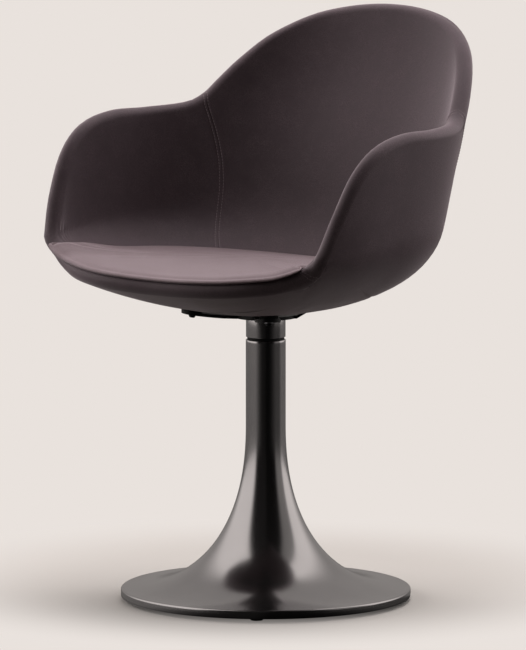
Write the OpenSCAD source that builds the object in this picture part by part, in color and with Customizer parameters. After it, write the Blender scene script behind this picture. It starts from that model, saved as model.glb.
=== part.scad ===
// Swivelling tub armchair on a trumpet foot.
// Millimetres. The chair faces -Y and stands on Z = 0.
// The seat shell is one smooth bowl: a rounded plan that grows with height, cut off along a rim
// that is low at the front lip, climbs the arm fronts, runs level along the arms and rises to the back.
// Every layer of the shell is the same bowl taken at its own distance from the middle surface.

/* [Foot] */
// Diameter of the trumpet foot
foot_dia = 400; // [370:5:440]
// Height of the foot's rolled rim
foot_rim = 12; // [11:1:14]
// Wall of the spun steel
foot_wall = 2.5; // [2:0.25:3]
// Height at which the flare has become the column
flare_top = 245; // [220:5:270]
// Rounding of the flare: 2 is an ellipse
flare_power = 2.3; // [2:0.1:2.6]
// Diameter of the column
column_dia = 55; // [52:1:60]
// Height of the column's top edge
column_top = 361; // [340:1:380]
// Thickness of the ballast plate
plate_thick = 8; // [6:1:9]
// Diameter of the raised middle of the ballast plate
plate_boss_dia = 60; // [50:2:70]
// Height of the raised middle above the plate
plate_boss_rise = 8; // [6:1:12]
// Diameter of a glide
glide_dia = 19; // [16:1:24]
// Height that the glides hold the foot above the floor
glide_lift = 5; // [4:0.5:8]
// Distance of the glides from the foot's edge
glide_inset = 25; // [18:1:50]
// Direction of the first glide
glide_turn = 39; // [0:1:90]
// Number of glides
glide_count = 4; // [3:1:6]
// Diameter of a glide's stem
glide_stem_dia = 8; // [6:1:10]

/* [Swivel] */
// Outer diameter of the inner tube
tube_dia = 49.8; // [48:0.1:49.8]
// Wall of the inner tube
tube_wall = 3; // [2.5:0.5:4]
// Diameter of the spindle
spindle_dia = 25; // [22:1:28]
// Running clearance of the spindle in its bushes, on the radius
spindle_play = 0.05; // [0.02:0.01:0.1]
// Wall of the bushes
bush_wall = 3; // [2:0.5:4]
// Length of the upper bush
upper_bush_length = 30; // [20:1:36]
// Length of the lower bush
lower_bush_length = 25; // [20:1:28]
// Length of the bearing housing inside the tube
housing_length = 65; // [60:1:80]
// Thickness of the housing's flange
housing_flange = 5; // [4:0.5:6]
// Thickness of the thrust ring under the collar
thrust_thick = 3.7; // [3:0.1:5]
// Diameter of the thrust ring
thrust_dia = 51; // [48:0.5:52]
// Height of the collar
collar_height = 26.5; // [22:0.5:36]
// Diameter of the collar
collar_dia = 54.5; // [52:0.5:60]
// Wall of the collar
collar_wall = 7; // [5:0.5:8]

/* [Spider] */
// Diameter of the hub plate
hub_dia = 84; // [76:2:96]
// Thickness of the hub and arms
arm_thick = 4.5; // [4:0.5:5]
// Width of an arm
arm_width = 34; // [30:1:40]
// Reach of an arm from the column
arm_reach = 116; // [112:1:126]
// Distance of the seat screws from the arms' tips
screw_inset = 18; // [16:1:26]
// Diameter of the seat screws
screw_dia = 6; // [5:1:6]
// Thickness of the rubber pad between an arm and the shell
pad_thick = 4.2; // [4:0.1:5]
// Diameter of a rubber pad
pad_dia = 26; // [20:1:30]

/* [Shell] */
// Width of the bowl at the middle surface
bowl_width = 528; // [500:4:560]
// Reach of the bowl in front of its middle
bowl_front = 251; // [235:1:265]
// Reach of the bowl behind its middle
bowl_back = 142; // [130:1:155]
// How far the bowl's middle lies in front of the column
bowl_forward = 27.5; // [20:0.5:35]
// Height in which the bowl bends up at the front
front_bend_height = 68; // [64:1:80]
// Height in which the bowl bends up at the back
back_bend_height = 144; // [135:1:155]
// Height above the bowl at which the back starts to curl upright
curl_start = 251; // [240:1:265]
// Radius of that curl
curl_radius = 455; // [420:5:500]
// Thickness of the whole upholstered shell
shell_thick = 24; // [22:0.5:26]
// Thickness of the moulded core
core_thick = 12; // [10:0.5:13]
// Thickness of the leather
leather = 1.5; // [1:0.1:1.8]
// Height of the front lip above the bowl's middle surface
lip_rise = 46; // [42:1:50]
// Height of the front corners
corner_rise = 76; // [70:1:82]
// Height of the arms
arm_rise = 253; // [235:1:265]
// Height of the back
back_rise = 399; // [380:1:420]

/* [Cushion] */
// Height of the seat cushion's top at the middle of the bowl
cushion_rise = 67; // [62:1:72]
// Height of the cushion's rolled edge
cushion_edge = 13; // [11:0.5:15]
// Overhang of the cushion's free edge beyond its foot on the front lip
cushion_overhang = 2; // [1:0.5:4]
// Rise of the cushion's outline from the back to the front, for each millimetre
cushion_slope = 0.047; // [0.03:0.001:0.06]
// Thickness of the cushion's cover
cover_thick = 1.6; // [1.2:0.1:2]
// Thickness of the cloth under the cushion
base_thick = 0.8; // [0.6:0.1:1.2]

/* [Hidden] */
$fn = 96;

// Clearances
slip = 0.1;        // between fixed round pieces that slide together
rest_gap = 0.3;    // between pieces that rest on each other
layer_gap = 0.5;   // between the layers of the shell
seam_gap = 0.4;    // from a seam to the edge of each panel
overrun = 1;       // how far a cut runs past its face

// Foot and column
flare_steps = 24;
foot_r = foot_dia / 2;
glide_ring = foot_r - glide_inset;
column_r = column_dia / 2;
rim_low = glide_lift;
rim_high = rim_low + foot_rim;
rim_round = 3;
plate_high = rim_high - foot_wall - slip;
plate_low = plate_high - plate_thick;
plate_r = foot_r - rim_round - slip;
boss_high = plate_high + plate_boss_rise;
tube_r = tube_dia / 2;
tube_bore = tube_r - tube_wall;
tube_top = column_top - housing_flange;
bolt_dia = 12;
bolt_head_dia = 18;
bolt_head_high = 8;
bolt_socket_dia = 10;
bolt_socket_deep = 5;
bolt_sink = 0.5;      // how far the head lies above the plate's underside
tie_washer_thick = 1.5;
tie_washer_dia = 19.6;
counterbore_dia = 20;
plug_high = 16;
bolt_short = 2;       // from the bolt's end to the plug's top
stem_short = 1;       // from a glide's stem to the plate's top
glide_bevel = 1.5;

// Swivel
shaft_r = spindle_dia / 2;
bush_bore = shaft_r + spindle_play;
bush_r = bush_bore + bush_wall;
housing_r = tube_bore - slip;
housing_low = tube_top - housing_length;
ring_top = column_top + thrust_thick;
shoulder_low = ring_top + spindle_play;
hub_low = shoulder_low + collar_height;
hub_high = hub_low + arm_thick;
collar_r = collar_dia / 2;
shoulder_r = collar_r - collar_wall;
spigot_step = 0.5;
spigot_r = shaft_r - spigot_step;
bore_land = 1.5;      // how far the land between the bushes stands into the bore
tail_washer_thick = 1.5;
clip_thick = 1.5;
clip_deep = 1;
clip_width = 3.5;
clip_open = 40;
shaft_chamfer = 1.5;
tail_length = 4.5;
washer_high = housing_low - rest_gap;
clip_high = washer_high - tail_washer_thick - slip;
clip_low = clip_high - clip_thick;
spindle_low = clip_low - tail_length;

// Seat screws, their washers and inserts
arm_turns = [45, 135, 225, 315];
arm_steps = 8;
washer_dia = 12;
washer_thick = 1.2;
head_dia = 10.5;
head_high = 3.3;
head_taper_share = 0.7;
key_dia = 4.6;
key_deep = 1.8;
hole_play = 0.3;
flat_sink = 0.2;      // how far the shell's flat facets lie inside its true curve at the pads
insert_flange_dia = 18;
insert_flange_thick = 1.5;
insert_barrel_dia = 9;
insert_short = 0.5;   // from the barrel's end to the core's underside
screw_short = 1;      // from the screw's end to the insert's top
hub_blend = 16;       // length in which an arm thins down from the hub
screw_ring = arm_reach - screw_inset;

// Shell layers, as distances from the middle surface
skin = shell_thick / 2;
core_skin = core_thick / 2;
foam_in = core_skin + layer_gap;
leather_in = skin - leather;
foam_out = leather_in - layer_gap;
hub_gap = 2.75;    // from the hub to the lowest point of the shell
seat_low = hub_high + hub_gap + skin;
feel = shell_thick / 50;   // the small step with which slopes are felt
least = feel / 5;

// Shell plan: how square it is, and how its sides lean out with height
front_power = 2.7;
back_power = 2.4;
side_slope = 0.04;
front_slope = 0.17;
back_slope = 0.425;
front_bend_power = 0.92;
back_bend_power = 2.8;
floor_power = 1.9;

function mix(a, b, t) = a + (b - a) * t;
function unit(v) = v / norm(v);
function ease(t) = let (u = max(0, min(1, t))) u * u * (3 - 2 * u);
function fold(a) = let (b = abs(a)) b > 180 ? 360 - b : b;

// Share of its full reach that the bowl has at height h above its lowest point
function reach_share(a, h) =
    let (
        to_front = (1 + cos(a)) / 2,
        turn = mix(back_bend_height, front_bend_height, to_front),
        power = mix(back_bend_power, front_bend_power, to_front),
        left = 1 - min(1, max(h, least) / turn)
    )
    pow(1 - pow(left, power), 1 / floor_power);

// Plan radius of the middle surface in direction a at height h
function plan_radius(a, h) =
    let (
        f = reach_share(a, h),
        side = bowl_width / 2 * f + side_slope * h,
        past = max(0, h - curl_start),
        ahead = cos(a) > 0,
        long = ahead ? bowl_front * f + front_slope * h
            : bowl_back * f + back_slope * h - past * past / (2 * curl_radius),
        n = ahead ? front_power : back_power
    )
    pow(pow(abs(sin(a)) / side, n) + pow(abs(cos(a)) / long, n), -1 / n);

function middle(a, h) =
    let (r = plan_radius(a, h)) [r * sin(a), -r * cos(a) - bowl_forward, seat_low + h];

function outward(a, h) =
    let (k = max(h, feel))
    unit(cross(middle(a + 1, k) - middle(a - 1, k), middle(a, k + feel) - middle(a, k - feel / 2)));

function off_skin(a, h, off) =
    h <= least ? [0, -bowl_forward, seat_low - off] : middle(a, h) + outward(a, h) * off;

// Rim: direction, lower mark, upper mark and the share of the way between them
corner_turn = 58;
seam_turn = 123;
rim_shares = [
    [0, lip_rise, lip_rise, 0], [28, lip_rise, corner_rise, 0.1], [44, lip_rise, corner_rise, 0.3],
    [51, lip_rise, corner_rise, 0.5], [58, corner_rise, corner_rise, 0],
    [61.5, corner_rise, arm_rise, 0.14], [65, corner_rise, arm_rise, 0.385],
    [71, corner_rise, arm_rise, 0.705], [79, corner_rise, arm_rise, 0.9],
    [90, corner_rise, arm_rise, 0.99], [104, arm_rise, arm_rise, 0],
    [118, arm_rise, back_rise, 0.035], [123, arm_rise, back_rise, 0.115],
    [127, arm_rise, back_rise, 0.24], [133, arm_rise, back_rise, 0.43],
    [143, arm_rise, back_rise, 0.69], [158, arm_rise, back_rise, 0.91], [180, back_rise, back_rise, 0]
];
rim_last = len(rim_shares) - 1;
rim_least_share = 0.35;
rim_knots = [for (k = rim_shares) [k[0], mix(k[1], k[2], k[3])]];

function rim_slope(k) =
    k == 0 || k == rim_last ? 0
    : (rim_knots[k + 1][1] - rim_knots[k - 1][1]) / (rim_knots[k + 1][0] - rim_knots[k - 1][0]);

function rim_span(a, k = 0) = k == rim_last - 1 || a < rim_knots[k + 1][0] ? k : rim_span(a, k + 1);

function rim_height(turn) =
    let (
        a = fold(turn),
        k = rim_span(a),
        p = rim_knots[k],
        q = rim_knots[k + 1],
        w = q[0] - p[0],
        t = (a - p[0]) / w
    )
    p[1] * (1 + 2 * t) * pow(1 - t, 2) + rim_slope(k) * w * t * pow(1 - t, 2)
    + q[1] * (3 - 2 * t) * t * t - rim_slope(k + 1) * w * t * t * (1 - t);

// At the rim: height, and how far down the rim one unit of depth reaches
function rim_rule(a) =
    let (
        h = rim_height(a),
        along = unit(middle(a + 1, rim_height(a + 1)) - middle(a - 1, rim_height(a - 1))),
        up = unit(middle(a, h) - middle(a, h - feel))
    )
    [h, up[2] / max(rim_least_share, norm(cross(along, up)))];

// Marks down each column of the shell: 0 bowl floor inside, 1 hem under the cushion,
// 2 start of the rounded rim, 3 its end, 4 seam of the under panel, 5 bowl floor outside
hem_rise = 20;
seam_over_screws = 2.8;     // height of the under seam over the rear seat screws
under_seam_rise = over_column(arm_turns[1], screw_ring)[1] + seam_over_screws;
under_seam_climb = 34;
under_fade_turn = 30;
under_seam_turn = 60;
rim_margin = 6;
floor_row_count = 4;
wall_row_count = 5;
rim_row_count = 4;
wall_power = 1.7;   // how much closer the marks stand low on the walls
rows = [
    for (k = [0:floor_row_count]) k / floor_row_count,
    for (k = [1:wall_row_count]) 1 + k / wall_row_count,
    for (k = [1:rim_row_count]) 2 + k / rim_row_count,
    for (k = [1:wall_row_count]) 3 + k / wall_row_count,
    for (k = [1:floor_row_count]) 4 + k / floor_row_count
];
front_shares = [0, 0.17, 0.34, 0.5, 0.64, 0.75, 0.84, 0.92];
arm_front_shares = [0, 0.035, 0.07, 0.11, 0.16, 0.23, 0.33, 0.46, 0.6, 0.76, 0.92];
back_shares = [0, 0.08, 0.18, 0.32, 0.48, 0.66, 0.84];
right_columns = [
    for (s = front_shares) corner_turn * s,
    for (s = arm_front_shares) mix(corner_turn, seam_turn, s),
    for (s = back_shares) mix(seam_turn, 180, s)
];
columns = [
    for (a = right_columns) a,
    180,
    for (k = [1:len(right_columns) - 1]) 360 - right_columns[len(right_columns) - k]
];
around = len(columns);
down = len(rows);

function under_seam(a, cap_end) =
    let (b = max(0, fold(a) - under_seam_turn))
    min(cap_end - rim_margin, under_seam_rise + under_seam_climb * exp(-b / under_fade_turn));

// Height and lean of the layer at a mark, for a layer at distance off
function station(mark, rule, under, off) =
    let (cap_end = rule[0] - skin * rule[1])
    mark < 1 ? [min(hem_rise, cap_end - rim_margin) * mark * mark, -1]
    : mark < 2 ? [mix(min(hem_rise, cap_end - rim_margin), cap_end, pow(mark - 1, wall_power)), -1]
    : mark <= 3 ? [rule[0] - (skin - off * sin(180 * (mark - 2))) * rule[1], -cos(180 * (mark - 2))]
    : mark <= 4 ? [mix(under, cap_end, pow(4 - mark, wall_power)), 1]
    : [under * pow(5 - mark, 2), 1];

// The seams between arm and back bow backward between the cushion and the rim
seam_bow_turn = 4.5;
bow_low = 50;
function seam_shift(a, h) =
    let (
        b = fold(a),
        weight = b < corner_turn ? 0
            : b < seam_turn ? (b - corner_turn) / (seam_turn - corner_turn)
            : (180 - b) / (180 - seam_turn),
        t = max(0, min(1, (h - bow_low) / (arm_rise - bow_low)))
    )
    (a > 180 ? -1 : 1) * weight * seam_bow_turn * sin(180 * t);

// Point of a layer, moved off its seams by the steps along (side) and down (drop)
function layer_point(a, mark, rule, under, off, side = 0, drop = 0) =
    let (
        in_rim = mark > 2 && (mark < 3 || (mark == 3 && drop < 0)),
        m = in_rim ? mark + drop * seam_gap / (off * PI) : mark,
        s = station(m, rule, under, off),
        h = in_rim ? s[0] : s[0] + drop * seam_gap * (mark < 2 ? 1 : -1),
        turn = a + seam_shift(a, h) + side * seam_gap / plan_radius(a, max(h, least)) * 180 / PI
    )
    off_skin(turn, max(0, h), off * s[1]);

function wrap(i) = (i + around) % around;
function is_pole(j) = j == 0 || j == down - 1;
function vertex(i, j, layer) = layer * around * down + j * around + (is_pole(j) ? 0 : wrap(i));
function column_mid(i) = let (n = i + 1 == around ? 360 : columns[i + 1]) (columns[wrap(i)] + n) / 2;
function row_mid(j) = (rows[j] + rows[j + 1]) / 2;

// Two triangles of a four-cornered cell, or one where two corners meet in a point
function split(a, b, c, d, right, turned) = [
    if (a != b) let (f = right ? [a, b, c] : [a, b, d]) turned ? [f[0], f[2], f[1]] : f,
    if (c != d) let (f = right ? [a, c, d] : [b, c, d]) turned ? [f[0], f[2], f[1]] : f
];

// Triangles of one cell of the grid, seen from its skin side
function cell(i, j, layer, turned) =
    let (
        a = vertex(i, j, layer),
        b = vertex(i + 1, j, layer),
        c = vertex(i + 1, j + 1, layer),
        d = vertex(i, j + 1, layer)
    )
    split(a, b, c, d, wrap(i) < around / 2, turned);

function edge_wall(i, j, k, l) =
    let (p = vertex(i, j, 0), q = vertex(k, l, 0), r = vertex(i, j, 1), s = vertex(k, l, 1))
    [[q, p, r], [q, r, s]];

// Closed solid through rings of points, of which the first and the last are single points
module ring_solid(rings, turned = false) {
    last = len(rings) - 1;
    function spot(i, j) = j * around + (j == 0 || j == last ? 0 : wrap(i));
    points = [for (ring = rings) each ring];
    faces = [
        for (j = [0:last - 1])
            for (i = [0:around - 1])
                each split(
                    spot(i, j), spot(i + 1, j), spot(i + 1, j + 1), spot(i, j + 1), i < around / 2, turned
                )
    ];
    polyhedron(points, faces, convexity = 10);
}

// One closed surface all over the shell at one distance from its middle
module full_layer(off)
    ring_solid([
        for (mark = rows) [
            for (a = columns)
                let (rule = rim_rule(a))
                layer_point(a, mark, rule, under_seam(a, rule[0] - skin * rule[1]), off)
        ]
    ]);

// A panel: the cells for which want[j][i] is true, between an outer and an inner distance
module panel(want, outer, inner_of_row) {
    function has(i, j) = j < 0 || j > down - 2 ? false : want[j][wrap(i)];
    function count(i, j) = has(i, j) ? 1 : 0;
    function side(i, j) =
        sign(count(i, j) + count(i, j - 1) - count(i - 1, j) - count(i - 1, j - 1));
    function drop(i, j) =
        is_pole(j) ? 0 : sign(count(i, j) + count(i - 1, j) - count(i, j - 1) - count(i - 1, j - 1));
    rules = [for (a = columns) rim_rule(a)];
    unders = [for (i = [0:around - 1]) under_seam(columns[i], rules[i][0] - skin * rules[i][1])];
    points = [
        for (layer = [0, 1])
            for (j = [0:down - 1])
                for (i = [0:around - 1])
                    layer_point(columns[i], rows[j], rules[i], unders[i],
                        layer == 0 ? outer : inner_of_row[j], side(i, j), drop(i, j))
    ];
    faces = [
        for (j = [0:down - 2])
            for (i = [0:around - 1])
                if (has(i, j))
                    each [
                        each cell(i, j, 0, false),
                        each cell(i, j, 1, true),
                        if (!has(i, j - 1) && !is_pole(j)) each edge_wall(i, j, i + 1, j),
                        if (!has(i, j + 1) && !is_pole(j + 1)) each edge_wall(i + 1, j + 1, i, j + 1),
                        if (!has(i + 1, j)) each edge_wall(i + 1, j, i + 1, j + 1),
                        if (!has(i - 1, j)) each edge_wall(i, j + 1, i, j)
                    ]
    ];
    polyhedron(points, faces, convexity = 10);
}

// Tables of cells for the panels
function cells(test) = [for (j = [0:down - 2]) [for (i = [0:around - 1]) test(column_mid(i), row_mid(j))]];
function in_front(a) = fold(a) < corner_turn;
function in_back(a) = fold(a) > seam_turn;
function on_right(a) = !in_front(a) && !in_back(a) && a < 180;
function on_left(a) = !in_front(a) && !in_back(a) && a > 180;
function lined(mark) = mark > 1 && mark < 3;
function faced(mark) = mark > 3 && mark < 4;
thin_rows = [for (mark = rows) leather_in];
thick_rows = [for (mark = rows) foam_in];
lip_rows = [for (mark = rows) mark <= 3 ? leather_in : foam_in];

// Cushion: its underside follows the inside of the shell and rides over the lip in front,
// where the edge stands free; elsewhere the edge meets the wall
cushion_skin = skin + layer_gap;
cushion_inset = cover_thick + 2 * layer_gap;
cushion_drop = 1.4;           // from the crown to the level at which the outline crosses the column
edge_roll = 4;                // how far the edge's last line lies inside the widest one
edge_crown = 0.8;             // and below the brim
brim_roll = 13;               // how far the first line of the flat top lies inside the widest one
free_mark_share = 2.38;       // where the free edge stands on the rounded lip
wall_edge = 5;                // height of the edge where it meets the wall
edge_shares = [0.35, 0.75];   // heights of the lines of the edge, as shares of it
wall_turns = [50, 59];        // directions between which the free edge becomes the wall's
top_shares = [0.72, 0.4, 0];
lip_mark_shares = [2, 2.25, 2.33];  // lines of the underside beyond the hem, where the edge is free
wall_play = 3.4;              // how much further the cushion stays from the wall than from the floor
play_turns = [46, 58];        // directions between which that play grows
floor_marks = [for (k = [0:floor_row_count]) k / floor_row_count];

corner_lift = 8;             // how much the cushion rises into the front corners
corner_spread_turn = 12;     // and the directions over which it does so

function cushion_brim(a) =
    let (
        h = rim_height(a),
        level = cushion_rise - cushion_drop - cushion_slope * middle(a, min(h, cushion_rise))[1],
        b = (fold(a) - corner_turn) / corner_spread_turn
    )
    min(h + cushion_edge, level + corner_lift * exp(-b * b));

function zone_share(a, zone) = ease((fold(a) - zone[0]) / (zone[1] - zone[0]));
function edge_skin(a) = cushion_skin + wall_play * zone_share(a, play_turns);

function free_share(a) = 1 - zone_share(a, wall_turns);

// Mark at which the wall's face, up to the rim, reaches a height
function mark_at(a, rule, rise, low = 0.5, high = 2, n = 12) =
    let (m = (low + high) / 2)
    n == 0 ? m
    : layer_point(a, m, rule, 0, edge_skin(a))[2] - seat_low < rise ? mark_at(a, rule, rise, m, high, n - 1)
    : mark_at(a, rule, rise, low, m, n - 1);

function wall_point(a, rule, mark) = layer_point(a, mark, rule, 0, edge_skin(a));
function wall_mark(a, share) = mark_at(a, rim_rule(a), cushion_brim(a) - wall_edge * (1 - share));
function edge_mark(a) = mix(wall_mark(a, 0), free_mark_share, free_share(a));

function inward_from(p, d) =
    let (c = [0, -bowl_forward], v = unit([p[0], p[1]] - c))
    [p[0] - v[0] * d, p[1] - v[1] * d, p[2]];

// Line of the cushion's edge at a share of its height: up the wall, or overhanging where it is free
function edge_line(a, share) =
    let (
        rule = rim_rule(a),
        free = free_share(a),
        foot = wall_point(a, rule, edge_mark(a)),
        climb = wall_point(a, rule, wall_mark(a, share)) - wall_point(a, rule, wall_mark(a, 0)),
        p = inward_from(foot, -cushion_overhang * free)
    )
    [
        p[0] + climb[0] * (1 - free),
        p[1] + climb[1] * (1 - free),
        mix(foot[2], seat_low + cushion_brim(a), share)
    ];

function brim_line(a, roll, drop, inset) =
    let (p = inward_from(edge_line(a, edge_shares[1]), roll + inset))
    [p[0], p[1], seat_low + cushion_brim(a) - drop - inset];

// Line of the underside at a mark, raised by the inset
function under_line(a, mark, inset) =
    layer_point(a, mark, rim_rule(a), 0, (mark > 1 ? edge_skin(a) : cushion_skin) + inset);

// Rings from the middle of the underside to the edge
function under_rings(inset) = [
    for (m = floor_marks) [for (a = columns) under_line(a, m, inset)],
    for (m = lip_mark_shares) [
        for (a = columns) under_line(a, mix(1, edge_mark(a), (m - 1) / (free_mark_share - 1)), inset)
    ]
];

// Rings from the edge to the middle of the top
function top_rings(inset) = [
    for (s = edge_shares) [
        for (a = columns) inward_from(edge_line(a, s) - [0, 0, inset * (s - edge_shares[0])], inset)
    ],
    [for (a = columns) brim_line(a, edge_roll, edge_crown, inset)],
    [for (a = columns) brim_line(a, brim_roll, 0, inset)],
    for (s = top_shares) [
        for (a = columns)
            let (p = brim_line(a, brim_roll, 0, inset), top = seat_low + cushion_rise - inset)
            [p[0] * s, mix(-bowl_forward, p[1], s), mix(top, p[2], s * s)]
    ]
];

function backwards(list) = [for (k = [len(list) - 1:-1:0]) list[k]];

module cushion_foam() {
    color("khaki") on_column()
        ring_solid(concat(under_rings(cushion_inset), top_rings(cushion_inset)), true);
}

module cushion_cover() {
    color("rosybrown") on_column()
        ring_solid(concat(
            backwards(top_rings(0)),
            [
                [for (a = columns) under_line(a, edge_mark(a), 0)],
                [for (a = columns) under_line(a, edge_mark(a), cover_thick)]
            ],
            top_rings(cover_thick)
        ));
}

module cushion_base_cloth() {
    color("gray") on_column()
        ring_solid(concat(
            under_rings(0),
            backwards(under_rings(base_thick))
        ), true);
}

// Where a direction and distance from the column meet the shell: bowl direction and height
function find_height(a, r, low, high, n = 20) =
    n == 0 ? (low + high) / 2
    : let (h = (low + high) / 2)
        plan_radius(a, h) < r ? find_height(a, r, h, high, n - 1) : find_height(a, r, low, h, n - 1);

function over_column(turn, reach) =
    let (
        x = reach * sin(turn),
        y = bowl_forward - reach * cos(turn),
        a = (atan2(x, -y) + 360) % 360
    )
    [a, find_height(a, norm([x, y]), 0, lip_rise)];

// Moves its children to a seat screw, with +Z into the shell and 0 on the middle surface
module at_screw(turn) {
    spot = over_column(turn, screw_ring);
    v = -outward(spot[0], spot[1]);
    translate(middle(spot[0], spot[1]))
        rotate([0, acos(v[2]), atan2(v[1], v[0])])
            children();
}

module at_screws() {
    for (turn = arm_turns)
        at_screw(turn) children();
}

arm_top = skin - flat_sink + pad_thick + slip;
arm_low = arm_top + arm_thick;

module ring(outer_r, inner_r, low, high) {
    difference() {
        translate([0, 0, low]) cylinder(r = outer_r, h = high - low);
        translate([0, 0, low - overrun]) cylinder(r = inner_r, h = high - low + 2 * overrun);
    }
}

// The frame's origin is under the middle of the chair's outline, and the column stands ahead of it
rim_line = [
    for (a = columns)
        let (rule = rim_rule(a))
        for (k = [0:rim_row_count]) layer_point(a, 2 + k / rim_row_count, rule, 0, skin)[1]
];
column_ahead = (max(rim_line) + min(rim_line)) / 2;

module on_column() {
    translate([0, -column_ahead, 0]) children();
}

// Foot
function flare_r(t) = foot_r - (foot_r - column_r) * pow(cos(90 * t), 2 / flare_power);
function flare_z(t) = flare_top - (flare_top - rim_high) * pow(sin(90 * t), 2 / flare_power);
function flare_point(t) = [flare_r(t), flare_z(t)];
function flare_inside(k) =
    let (
        p = flare_point(max(0, k - 0.5) / flare_steps),
        q = flare_point(min(flare_steps, k + 0.5) / flare_steps),
        d = unit(q - p)
    )
    flare_point(k / flare_steps) + [d[1], -d[0]] * foot_wall;

module trumpet_base() {
    color("dimgray") on_column() rotate_extrude()
        polygon(concat(
            [[column_r, column_top]],
            [for (k = [0:flare_steps - 1]) flare_point(k / flare_steps)],
            [
                [foot_r - rim_round, rim_high],
                [foot_r - rim_round * (1 - sin(45)), rim_high - rim_round * (1 - cos(45))],
                [foot_r, rim_high - rim_round],
                [foot_r, rim_low],
                [foot_r - foot_wall, rim_low],
                [foot_r - foot_wall, rim_high - rim_round],
                [foot_r - rim_round, rim_high - foot_wall]
            ],
            [for (k = [flare_steps - 2:-1:1]) flare_inside(k)],
            [[column_r - foot_wall, flare_top], [column_r - foot_wall, column_top]]
        ));
}

module at_glides() {
    for (k = [0:glide_count - 1])
        rotate(glide_turn + 360 * k / glide_count) translate([0, -glide_ring, 0]) children();
}

module floor_plate() {
    color("slategray") on_column() difference() {
        union() {
            translate([0, 0, plate_low]) cylinder(r = plate_r, h = plate_thick);
            translate([0, 0, plate_low]) cylinder(d = plate_boss_dia, h = boss_high - plate_low);
        }
        translate([0, 0, plate_low - overrun])
            cylinder(d = bolt_dia + 2 * slip, h = boss_high - plate_low + 2 * overrun);
        translate([0, 0, plate_low - overrun])
            cylinder(d = counterbore_dia, h = bolt_sink + bolt_head_high + tie_washer_thick + overrun);
        at_glides() translate([0, 0, plate_low - overrun])
            cylinder(d = glide_stem_dia + slip, h = plate_thick + 2 * overrun);
    }
}

module glide_feet() {
    glide_r = glide_dia / 2;
    color("black") on_column() at_glides() rotate_extrude()
        polygon([
            [0, 0], [glide_r - glide_bevel, 0], [glide_r, glide_bevel], [glide_r, plate_low],
            [glide_stem_dia / 2, plate_low], [glide_stem_dia / 2, plate_high - stem_short],
            [0, plate_high - stem_short]
        ]);
}

module column_tube() {
    color("silver") on_column() ring(tube_r, tube_bore, boss_high, tube_top);
}

module tube_plug() {
    color("darkgray") on_column()
        ring(tube_bore - slip, bolt_dia / 2 + slip, boss_high, boss_high + plug_high);
}

module tie_bolt() {
    head_low = plate_low + bolt_sink;
    color("black") on_column() difference() {
        union() {
            translate([0, 0, head_low]) cylinder(d = bolt_head_dia, h = bolt_head_high);
            translate([0, 0, head_low])
                cylinder(d = bolt_dia, h = boss_high + plug_high - bolt_short - head_low);
        }
        translate([0, 0, head_low - overrun])
            cylinder(d = bolt_socket_dia, h = bolt_socket_deep + overrun, $fn = 6);
    }
}

module tie_washer() {
    low = plate_low + bolt_sink + bolt_head_high;
    color("silver") on_column() ring(tie_washer_dia / 2, bolt_dia / 2 + slip, low, low + tie_washer_thick);
}

module bearing_housing() {
    bore = bush_r + slip / 4;
    flange_r = column_r - foot_wall - slip;
    land_low = housing_low + lower_bush_length;
    land_high = column_top - upper_bush_length;
    color("lightsteelblue") on_column() rotate_extrude()
        polygon([
            [bore, housing_low], [housing_r, housing_low], [housing_r, tube_top], [flange_r, tube_top],
            [flange_r, column_top], [bore, column_top], [bore, land_high], [bore - bore_land, land_high],
            [bore - bore_land, land_low], [bore, land_low]
        ]);
}

module lower_bush() {
    color("goldenrod") on_column() ring(bush_r, bush_bore, housing_low, housing_low + lower_bush_length);
}

module upper_bush() {
    color("goldenrod") on_column() ring(bush_r, bush_bore, column_top - upper_bush_length, column_top);
}

module thrust_ring() {
    color("black") on_column() ring(thrust_dia / 2, shaft_r + hole_play, column_top, ring_top);
}

module spindle() {
    color("silver") on_column() rotate_extrude()
        polygon([
            [0, spindle_low], [shaft_r - shaft_chamfer, spindle_low],
            [shaft_r, spindle_low + shaft_chamfer],
            [shaft_r, clip_low], [shaft_r - clip_deep, clip_low], [shaft_r - clip_deep, clip_high],
            [shaft_r, clip_high], [shaft_r, shoulder_low], [shoulder_r, shoulder_low],
            [shoulder_r, hub_low], [spigot_r, hub_low], [spigot_r, hub_high - spigot_step],
            [0, hub_high - spigot_step]
        ]);
}

module lower_washer() {
    color("silver") on_column()
        ring(housing_r, shaft_r + slip, washer_high - tail_washer_thick, washer_high);
}

module retaining_ring() {
    clip_r = shaft_r - clip_deep + clip_width;
    open = clip_r * sin(clip_open / 2);
    color("black") on_column() difference() {
        ring(clip_r, shaft_r - clip_deep + slip / 2, clip_low, clip_high - slip / 2);
        translate([0, -open, clip_low - overrun])
            cube([clip_r + overrun, 2 * open, clip_thick + 2 * overrun]);
    }
}

module collar() {
    color("dimgray") on_column() ring(collar_r, shoulder_r + slip, shoulder_low, hub_low - slip);
}

// Side outline of a spider arm, from the hub to its tip
function arm_side(turn, off) = [
    for (k = [0:arm_steps])
        let (
            spot = over_column(turn, mix(hub_dia / 2 + hub_blend, arm_reach, k / arm_steps)),
            p = off_skin(spot[0], spot[1], off)
        )
        [p[0] * sin(turn) - p[1] * cos(turn), p[2]]
];

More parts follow.
